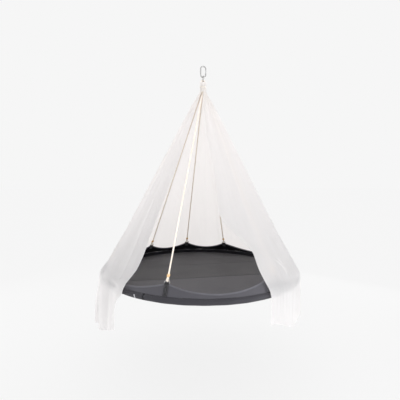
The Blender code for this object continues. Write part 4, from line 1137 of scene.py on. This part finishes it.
def make_hem():
    """The pole's sleeve: a round tube of cloth pinched into a neck on top. Its gathers are small waves that
    run round the section, r = R + a sin(n b), deepest at the neck's seam and faint underneath. A short
    slanting tab is sewn on it."""
    half_slit = math.degrees(HEM_SLIT_WIDTH / 2 / BED_RADIUS)
    bearing = HEM_SLIT_BEARING + np.linspace(half_slit, 360.0 - half_slit, 1400)
    arc = np.radians(np.linspace(115.0, 425.0, 19))
    neck = CLOTH / 2 + GAP
    neck_rise = np.array([HEM_HEIGHT, HEM_HEIGHT - 0.0025])
    across = np.concatenate([np.full(2, -neck), hem_radius * np.cos(arc), np.full(2, neck)])
    height = np.concatenate([neck_rise, hem_centre + hem_rise(arc, hem_radius), neck_rise[::-1]])
    turn = np.radians(bearing)
    depth = 0.6 + 0.4 * ripple(turn * 3.0, turn * 0.0, 21, 6, 0.5, 2.0)
    gather = np.sin(turn * 340.0 + 2.0 * np.sin(turn * 23.0)) * depth
    pull = smooth_step((height - 0.004) / 0.026) * np.concatenate([[0.2, 0.5], np.ones(19), [0.5, 0.2]])
    slack = ripple(turn[:, None] * 5.0, height[None] * 20.0, 22, 8, 0.3, 2.0)
    swell = 0.0010 * gather[:, None] * pull[None] + 0.0005 * slack
    section = joined(across, height)
    at = section[None] + unit(section - np.array([0.0, hem_centre]))[None] * swell[..., None]
    grid = around(bearing[:, None], pole_ring_radius + at[..., 0], bed_z + at[..., 1])
    uv = joined((turn * BED_RADIUS)[:, None], along(section)[None])
    hem = cloth("hem_tube", grid, uv, CLOTH, hem_cloth_painted_shade)
    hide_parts("hem_sleeve")
    lines = []
    for sign in (1.0, -1.0):
        seam = pole_ring_radius + sign * (neck + CLOTH / 2 + 0.0001)
        lines.append((around(bearing, seam, bed_z + HEM_HEIGHT - 0.0018), around(bearing, sign, 0.0)))
    sewn = stitches("hem_stitches", lines, dark_thread, length=0.0036, pitch=0.0052)
    reach = np.linspace(-1.0, 1.0, 9)[:, None] * 0.013
    wide = np.linspace(-1.0, 1.0, 5)[None] * 0.0042
    arc = -0.35 + reach * math.cos(TAB_TURN) / hem_radius
    shift = np.degrees((wide - reach * math.sin(TAB_TURN)) / BED_RADIUS)
    radius = hem_radius + TAB_LIFT
    z = bed_z + hem_centre + hem_rise(arc, radius)
    grid = around(TAB_BEARING + shift, pole_ring_radius + radius * np.cos(arc), z)
    tab = cloth("hem_tab", grid, joined(reach, wide), 0.0007, tab_grey)
    settle([hem, sewn, tab], "hammock")


SEAM_ROWS = np.array([-0.007, -0.005, -0.0045, -0.002, 0.0, 0.002, 0.0045, 0.005, 0.007])
SEAM_LAP = 0.0048
BAND_OFF_HEM = 0.0030


def floor_height(x, y, edge):
    """Height of the floor's middle inside its low edge: a dish 1 - (r / R)^2 deep, and slow waves of 1.2
    mm."""
    fall = np.clip((np.hypot(x, y) - FLOOR_FLAT_RADIUS) / (edge - FLOOR_FLAT_RADIUS), 0.0, 1.0)
    rest = HEM_HEIGHT - FLOOR_THICKNESS - FLOOR_THICKNESS / 2 - FLOOR_DROP
    waves = 0.0012 * (1.0 - fall**6) * ripple(x * 1.6, y * 1.6, 32, 9, 0.4, 1.8)
    return rest - FLOOR_SAG * (1.0 - fall**2) + waves


def make_floor():
    """The floor: rows run straight across it at y = R sin t and each is as wide as the disc there. Seams
    cross it as ridges of two cloths, small gathers rise towards its low edge, and a band of near-black cloth,
    painted shade for the dark rim, lapped over that edge, turns up from it to the hem's neck."""
    edge = pole_ring_radius - CLOTH / 2 - GAP - 0.0026 - FLOOR_TURN_UP
    rows = edge * np.sin(np.radians(np.linspace(-88.5, 88.5, 150)))
    rows = np.unique(np.round(np.concatenate([rows, *(seam + SEAM_ROWS for seam in FLOOR_SEAMS)]), 5))
    share = np.sin(np.linspace(-math.pi / 2, math.pi / 2, 131))
    x = np.sqrt(edge**2 - rows**2)[:, None] * share[None]
    y = np.broadcast_to(rows[:, None], x.shape)
    radius = np.hypot(x, y)
    free = 1.0 - smooth_step((radius / edge - 0.965) / 0.020)
    gathers = smooth_step((radius / edge - 0.80) / 0.20) * free
    gathers = 0.0014 * gathers * ripple(np.arctan2(x, -y) * 9.0, radius * 2.0, 31, 9, 0.4, 1.6)
    laps = sum((np.abs(y - seam) < SEAM_LAP) * free for seam in FLOOR_SEAMS)
    height = floor_height(x, y, edge) + gathers + 0.0004 * laps
    grid = joined(x, y, bed_z + height)
    thick = FLOOR_THICKNESS + 0.0011 * laps
    floor = cloth("floor_cloth", grid, joined(x, y), thick, floor_grey, sharp=60.0)
    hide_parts("bed_floor")
    bearing = bearings(720)
    turn = np.radians(bearing)[:, None]
    low = HEM_HEIGHT - FLOOR_THICKNESS - FLOOR_DROP + 0.0007
    top = HEM_HEIGHT - FLOOR_THICKNESS - 0.0006
    climb = np.linspace(0.0, 1.0, 12)
    out = smooth_step(climb * 0.96) * (FLOOR_TURN_UP - BAND_OFF_HEM)
    across = edge + np.concatenate([[-0.009, -0.006, -0.003], out])
    rise = low + np.concatenate([np.zeros(3), climb]) * (top - low)
    crimp = np.concatenate([np.zeros(3), np.sin(climb * math.pi)])
    wave = 0.0010 * crimp[None] * ripple(turn * 14.0, np.zeros((1, 15)), 33, 9, 0.5, 1.8)
    grid = around(bearing[:, None], across[None] - wave, bed_z + rise[None] + wave)
    uv = joined(turn * edge, along(joined(across, rise))[None])
    # The rim band takes the near-black cloth, painted shade for the dark floor along the wall.
    band = cloth("floor_band", grid, uv, 0.0010, lining_painted_shade, wrap=True)
    lines = []
    for seam in FLOOR_SEAMS:
        for y_line in (seam - 0.0032, seam + 0.0032):
            x_line = np.linspace(-1.0, 1.0, 160) * math.sqrt(edge**2 - y_line**2) * 0.955
            z = floor_height(x_line, y_line, edge) + FLOOR_THICKNESS / 2 + 0.0010
            lines.append((joined(x_line, y_line, bed_z + z), Z_AXIS))
    sewn = stitches("floor_stitches", lines, pale_thread)
    settle([floor, band, sewn], "hammock")


# Canopy: six panels sewn side by side, open at the entrance

def rope_distance(height):
    """Distance of a rope's centre from the Z axis at a height, straight from the bar to the bundle."""
    share = (bed_z + height - bar_z) / (fan_z - bar_z)
    return bar_radius_from_axis + share * (bundle_radius - bar_radius_from_axis)


canopy_top = COLLAR_FOOT - GAP
# Heights and radii of the unfolded canopy's corners, from the collar down
canopy_profile = [
    (canopy_top, collar_radius - CANOPY_CLOTH / 2),
    (0.330, rope_distance(0.330) + 0.0100),
    (0.215, rope_distance(0.215) + 0.0175),
    (0.168, rope_distance(0.168) + 0.0175),
    (0.059, BED_RADIUS - 0.002),
    (0.018, BED_RADIUS + 0.005),
    (-0.050, BED_RADIUS + 0.007),
    (-0.300, BED_RADIUS + 0.012),
]


def leftness(bearing):
    """1 at the left side, 0 at the right side: (1 - sin b) / 2."""
    return (1.0 - np.sin(np.radians(bearing))) / 2.0


def profile_table():
    """Heights and radii of the unfolded canopy, its corners worn round by a running mean over 30 mm."""
    heights = np.linspace(-0.345, canopy_top + 0.020, 1825)
    corners = np.array(canopy_profile[::-1])
    top_slope = (corners[-1, 1] - corners[-2, 1]) / (corners[-1, 0] - corners[-2, 0])
    head = [[canopy_top + 0.05, corners[-1, 1] + 0.05 * top_slope]]
    corners = np.concatenate([[[-0.36, corners[0, 1]]], corners, head])
    radii = np.interp(heights, corners[:, 0], corners[:, 1])
    width = 31
    worn = np.convolve(np.pad(radii, width // 2, mode="edge"), np.ones(width) / width, mode="valid")
    return heights, worn


table_heights, table_radii = profile_table()


def canopy_radius(height, bearing):
    """Radius of the unfolded canopy: down the ropes, over the stops and the hem, then the skirt, which hangs
    a little further out on the left and flares at the left drape's tail."""
    below = smooth_step((PEAK_HEIGHT - height) / PEAK_HEIGHT)
    turn = (bearing + 180.0) % 360.0 - 180.0
    tail = smooth_step((turn + 104.0) / 8.0) * smooth_step((-79.0 - turn) / 2.0)
    flare = 0.030 * tail * smooth_step((0.02 - height) / 0.28)
    return np.interp(height, table_heights, table_radii) + SKIRT_LEFT_OUT * leftness(bearing) * below + flare


# Lines down the cloth: heights and the bearing, or the shift of it, at each
LEFT_BOW = (
    (-0.10, -0.05, 0.0, 0.08, 0.13, 0.16, 0.20, 0.24, 0.28, 0.34),
    (0.0, 2.0, 2.6, 2.7, 3.6, 3.8, 3.0, 2.0, 0.9, 0.0),
)
INNER_FOLD = (
    (-0.30, 0.071, 0.163, 0.244, 0.341, 0.619, 0.791, 1.10, 1.30),
    (-61.5, -59.4, -58.8, -58.4, -59.8, -60.4, -61.6, -60.2, -58.5),
)
CRESCENT = (
    (0.105, 0.126, 0.145, 0.163, 0.180, 0.197, 0.215),
    (43.1, 42.9, 42.7, 42.0, 41.0, 39.7, 38.0),
)


def left_edge(height):
    """Bearing of the entrance's left edge: nearly straight down, drawn back round the bed and again under it.
    The cloth's slack lets it bow a little towards the entrance over the bed."""
    lean = 3.5 * smooth_step((1.10 - height) / 0.80)
    sweep = 6.0 * smooth_step((0.32 - height) / 0.25)
    tuck = 2.7 * smooth_step((0.015 - height) / 0.060)
    return np.interp(height, *LEFT_BOW) - 46.0 - lean - sweep - tuck


def right_edge(height):
    """Bearing of the entrance's right edge: near the middle on top, swept back to the right lower down."""
    lean = 7.0 * smooth_step((1.25 - height) / 0.45)
    sweep = 19.0 * smooth_step((0.54 - height) / 0.28)
    return -6.0 + lean + sweep + 3.0 * smooth_step((0.22 - height) / 0.22)


def broad_folds(bearing, height):
    """The part's own folds: a wave round the canopy, depth (1 + sin(18 b)) / 2, shallow on the cone and deep
    on the skirt."""
    skirt = FOLD_ON_SKIRT + FOLD_LEFT_MORE * (2.0 * leftness(bearing) - 1.0)
    depth = FOLD_ON_CONE + (skirt - FOLD_ON_CONE) * smooth_step((PEAK_HEIGHT - height) / PEAK_HEIGHT)
    fade = np.minimum(1.0, (canopy_top - height) / FOLD_FADE)
    return depth * fade * 0.5 * (1.0 + np.sin(np.radians(bearing) * FOLD_COUNT + FOLD_PHASE))


# Each crease: its line, a shift of the line's bearing, width, depth, top, foot and the height it fades over
CREASES = (
    (INNER_FOLD, 0.0, 0.010, 0.0055, 1.25, 0.03, 0.06),
    (CRESCENT, -1.4, 0.0070, 0.0080, 0.225, 0.105, 0.03),
    (CRESCENT, 0.0, 0.0060, -0.0055, 0.220, 0.105, 0.03),
)


def creases(bearing, height):
    """The long soft fold beside the entrance's left edge and the short bowed one over the front right stop:
    each is its depth times a bell across its line, faded in and out over heights."""
    total = 0.0
    radius = np.maximum(canopy_radius(height, bearing), 0.03)
    for line, shift, width, depth, top, foot, fade in CREASES:
        away = np.radians(bearing - (np.interp(height, *line) + shift)) * radius
        shown = smooth_step((top - height) / fade) * smooth_step((height - foot) / fade)
        total = total + depth * shown * bump_at(away, 0.0, width)
    return total


# Waves of the cloth: counts round it and down it, seed, number of sines, fewest and most to a unit
WAVES = {
    "pulls": (5.0, 0.30, 41, 11, 0.7, 2.4),
    "thin": (13.0, 0.35, 42, 11, 0.7, 2.0),
    "soft": (2.2, 1.3, 43, 9, 0.4, 1.3),
    "skirt": (4.6, 0.8, 44, 9, 0.6, 1.8),
    "crumple": (26.0, 17.0, 45, 13, 0.5, 1.5),
    "pouch": (12.0, 9.0, 46, 9, 0.6, 1.6),
}


def fine_folds(bearing, height):
    """What the cloth does over the broad folds: long thin pull lines that fan down from the collar, softer
    waves that cross them, the crumpled cloth over the left stop with the pocket below it, and the creases."""
    turn = np.radians(bearing)
    wave = {name: ripple(turn * wide, height * long, *rest) for name, (wide, long, *rest) in WAVES.items()}
    room = smooth_step(canopy_radius(height, bearing) / 0.30)
    near_top = smooth_step((height - 0.75) / 0.55)
    skirt = smooth_step((0.10 - height) / 0.14)
    body = room * (1.0 - near_top)
    total = body * (0.0016 * wave["pulls"] + 0.0022 * wave["soft"])
    total = total + 0.0005 * wave["thin"] * (1.0 - skirt) * room
    pleats = np.abs(np.sin(turn * 42.0 + 0.8 * np.sin(turn * 5.0)))
    total = total + 0.0008 * near_top * pleats * smooth_step((canopy_top - height) / 0.03)
    total = total + skirt * (0.0030 * wave["skirt"] + 0.0010 * wave["thin"])
    over_stop = bump_at(bearing, -80.0, 8.0) * bump_at(height, 0.170, 0.040)
    total = total + over_stop * 0.0035 * (1.0 + wave["crumple"])
    ledge = smooth_step((bearing + 90.0) / 10.0) * smooth_step((-56.5 - bearing) / 5.0)
    under = 0.7 + 0.6 * bump_at(bearing, -62.0, 3.0) + 0.6 * bump_at(bearing, -79.0, 3.5)
    pocket = 0.0035 * bump_at(height, 0.068, 0.016) - 0.0034 * under * bump_at(height, 0.038, 0.008)
    total = total + ledge * pocket
    pouch = bump_at(bearing, -76.0, 11.0) * bump_at(height, 0.075, 0.040)
    return total + 0.0012 * pouch * wave["pouch"] + creases(bearing, height)


def panel_foot(name, share):
    """Height of a panel's foot across it: rises to the entrance's corners, a step near the left seam, and
    level or evenly falling between them."""
    if name == "front_right":
        return SKIRT_FOOT_RIGHT + RIGHT_CORNER_RISE * (1.0 - smooth_step(share / 0.85))
    if name == "left":
        step = LEFT_SEAM_RISE - 0.030 * smooth_step(share / 0.30)
        corner = LEFT_CORNER_RISE * np.maximum(0.0, 2.0 * share - 1.0) ** 1.2
        return SKIRT_FOOT_LEFT + step * (1.0 - smooth_step((share - 0.49) / 0.03)) + corner
    if name == "side_right":
        return np.full(np.shape(share), SKIRT_FOOT_RIGHT)
    left_seam = SKIRT_FOOT_LEFT + LEFT_SEAM_RISE
    share = (BACK_PANELS.index(name) + share) / len(BACK_PANELS)
    return SKIRT_FOOT_RIGHT + share * (left_seam - SKIRT_FOOT_RIGHT)


HEM_TURN = 0.013
HEM_INSETS = np.array([0.0, 0.0015, 0.006, 0.0105, 0.012])
HEM_STITCH_COLUMN = 3
UNROLLED = 0.477
DENSE_FROM = 0.72


def always(bearing):
    """A seam's line: the same bearing at every height."""
    return lambda height: np.full(np.shape(height), bearing)


# Each panel: the lines of its first and last edge, and the gap that it leaves at each
PANELS = {
    "front_right": (right_edge, always(FRONT_SEAM_BEARING), 0.0, PANEL_GAP),
    "side_right": (always(FRONT_SEAM_BEARING), always(SEAM_BEARING), PANEL_GAP, PANEL_GAP),
    "left": (always(-SEAM_BEARING), left_edge, PANEL_GAP, 0.0),
}
back_width = (360.0 - 2.0 * SEAM_BEARING) / len(BACK_PANELS)
for panel_place, panel_name in enumerate(BACK_PANELS):
    panel_start = SEAM_BEARING + panel_place * back_width
    PANELS[panel_name] = (always(panel_start), always(panel_start + back_width), PANEL_GAP, PANEL_GAP)


def panel_heights(name, share):
    """Heights down a panel at shares of its width: from the collar to its foot, closer together over the bed
    and in the foot's hem."""
    down = np.concatenate([np.linspace(0.0, DENSE_FROM, 105)[:-1], np.linspace(DENSE_FROM, 1.0, 86)])[:, None]
    foot = panel_foot(name, share)
    return np.concatenate([canopy_top - down * (canopy_top - foot - HEM_TURN), foot + HEM_INSETS[::-1, None]])


def make_panel(name):
    """A panel of the canopy. Its columns run from edge to edge, closer together in the two turned hems, which
    lie a fixed length in. The cut is the cone unrolled: the way down from the peak times (sin, cos) of the
    bearing times 0.477."""
    first, last, first_gap, last_gap = PANELS[name]
    low_height, high_height = (panel_heights(name, np.full((1, 1), share))[:, 0] for share in (0.0, 1.0))
    low, high = first(low_height), last(high_height)
    radius = canopy_radius(low_height, (low + high) / 2)
    low = low + np.degrees(first_gap / 2 / radius)
    high = high - np.degrees(last_gap / 2 / radius)
    room = np.minimum(HEM_TURN / (radius * np.radians(high - low)), 0.2)[:, None]
    turned_in = HEM_INSETS[None] / HEM_TURN * room
    inner = room + np.linspace(0.0, 1.0, 88)[None] * (1.0 - 2.0 * room)
    share = np.concatenate([turned_in, inner, 1.0 - turned_in[:, ::-1]], axis=1)
    height = np.stack([panel_heights(name, share[row : row + 1])[row] for row in range(len(share))])
    bearing = low[:, None] + share * (high - low)[:, None]
    radius = canopy_radius(height, bearing) + broad_folds(bearing, height) + fine_folds(bearing, height)
    grid = around(bearing, radius, bed_z + height)
    drop = np.cumsum(np.linalg.norm(np.diff(grid, axis=0), axis=-1), axis=0)
    reach = 0.025 + np.concatenate([np.zeros((1, grid.shape[1])), drop])
    turn = np.radians(bearing) * UNROLLED
    hem = np.zeros(grid.shape[:2])
    count = len(HEM_INSETS)
    hem[-count:], hem[:, :count], hem[:, -count:] = 1.0, 1.0, 1.0
    uv = joined(reach * np.sin(turn), reach * np.cos(turn))
    panel = cloth(f"canopy_{name}_cloth", grid, uv, CANOPY_CLOTH * (0.42 + 0.55 * hem), voile)
    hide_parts(f"canopy_{name}")
    normal = unit(np.cross(np.gradient(grid, axis=0), np.gradient(grid, axis=1)))
    lines = []
    whole, seam = slice(None), HEM_STITCH_COLUMN
    for side in (1.0, -1.0):
        skin = grid + side * normal * CANOPY_CLOTH * 0.5
        for at in ((whole, seam), (whole, -1 - seam), (-1 - seam, whole)):
            lines.append((skin[at], side * normal[at]))
    sewn = stitches(f"canopy_{name}_stitches", lines, white_thread, radius=0.00026)
    patch = np.cross(np.diff(grid, axis=0)[:, :-1], np.diff(grid, axis=1)[:-1])
    area = float(np.linalg.norm(patch, axis=-1).sum())
    settle([panel, sewn], "hammock")
    return panel, sewn, float(along(grid[-1])[-1]), float(drop[-1].max()), area


def make_canopy():
    """The six panels; the cut sizes that make_panel gives back are not used."""
    for name in PANELS:
        panel, sewn, wide, long, area = make_panel(name)


# Poles and the gate's inner parts, which keep the part's own solids

def dress_nodes():
    """Gives the part's own solids that stay their finishes."""
    for name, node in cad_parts.items():
        if name.startswith("pole_spigot") or name in ("gate_pin", "gate_plunger", "gate_spring", "gate_cap"):
            looks = bright_steel
        elif name.startswith("pole_"):
            looks = aluminium
        else:
            continue
        node.data.materials.clear()
        node.data.materials.append(looks)


# Studio

BACKDROP = linear(246, 246, 246)
FLOOR_WHITE = linear(242, 242, 242)
FLOOR_WHITE_SHARE = 0.93
FLOOR_Z = bed_z - 0.75
FLOOR_HALF = 30.0
SKY_STRENGTH = 1.42
# Each lamp: name, place, the point that it faces, the side of its square in metres and its power in watts
LAMPS = (
    ("front_right_lamp", (1.6, -2.4, -1.7), (0.2, -0.5, -1.6), 1.4, 28.0),
    ("back_left_lamp", (-2.6, 1.6, -0.5), (0.0, 0.0, -1.0), 2.6, 26.0),
    ("back_right_lamp", (2.4, 1.9, -0.8), (0.0, 0.0, -1.2), 2.6, 24.0),
)


def seen_directly(finish):
    """1 for the camera, gloss and glass, and 0 for other light."""
    path = finish.add("LightPath")
    seen = finish.math("MAXIMUM", path.outputs["Is Camera Ray"], path.outputs["Is Glossy Ray"])
    return finish.math("MAXIMUM", seen, path.outputs["Is Transmission Ray"])


def backdrop_finish():
    """A pale floor: the camera, gloss and glass see mostly the backdrop's own white with a little of the
    light that falls there, so a faint shadow stays, and other light finds a plain pale surface."""
    finish = Finish("studio_floor")
    pale = finish.add("BsdfDiffuse", Color=BACKDROP).outputs[0]
    white = finish.add("Emission", Color=FLOOR_WHITE, Strength=1.0).outputs[0]
    return finish.done(finish.mixed(finish.scaled(seen_directly(finish), FLOOR_WHITE_SHARE), pale, white))


def make_studio():
    """A wide pale floor below the skirt, an even white sky and three broad soft lamps, front right, back left
    and back right."""
    mesh = bpy.data.meshes.new("studio_floor")
    corners = ((-1, -1), (1, -1), (1, 1), (-1, 1))
    mesh.from_pydata([(x * FLOOR_HALF, y * FLOOR_HALF, FLOOR_Z) for x, y in corners], [], [(0, 1, 2, 3)])
    mesh.materials.append(backdrop_finish())
    floor = bpy.data.objects.new("studio_floor", mesh)
    bpy.context.scene.collection.objects.link(floor)
    finish = Finish("studio", world=True)
    sky = finish.add("Background", Color=(1.0, 1.0, 1.0, 1.0), Strength=SKY_STRENGTH).outputs[0]
    seen = finish.add("Background", Color=BACKDROP, Strength=1.0).outputs[0]
    bpy.context.scene.world = finish.done(finish.mixed(seen_directly(finish), sky, seen))
    for name, place, aim, size, energy in LAMPS:
        lamp = bpy.data.lights.new(name, "AREA")
        lamp.shape = "RECTANGLE"
        lamp.size = lamp.size_y = size
        lamp.energy = energy
        holder = bpy.data.objects.new(name, lamp)
        bpy.context.scene.collection.objects.link(holder)
        holder.location = place
        holder.rotation_euler = (Vector(aim) - holder.location).to_track_quat("-Z", "Y").to_euler()
    bpy.context.scene.view_settings.view_transform = "Standard"


make_camera()
for side_name, rope_bearing in ROPES.items():
    make_rope(side_name, rope_bearing)
make_hook()
make_gate()
make_rigging_ring()
make_crown()
make_whipping()
make_collar()
for side_name, rope_bearing in ROPES.items():
    make_stop(side_name, rope_bearing)
    make_d_ring(side_name, rope_bearing)
    make_strap(side_name, rope_bearing)
make_wall()
make_hem()
make_floor()
make_canopy()
dress_nodes()
make_studio()
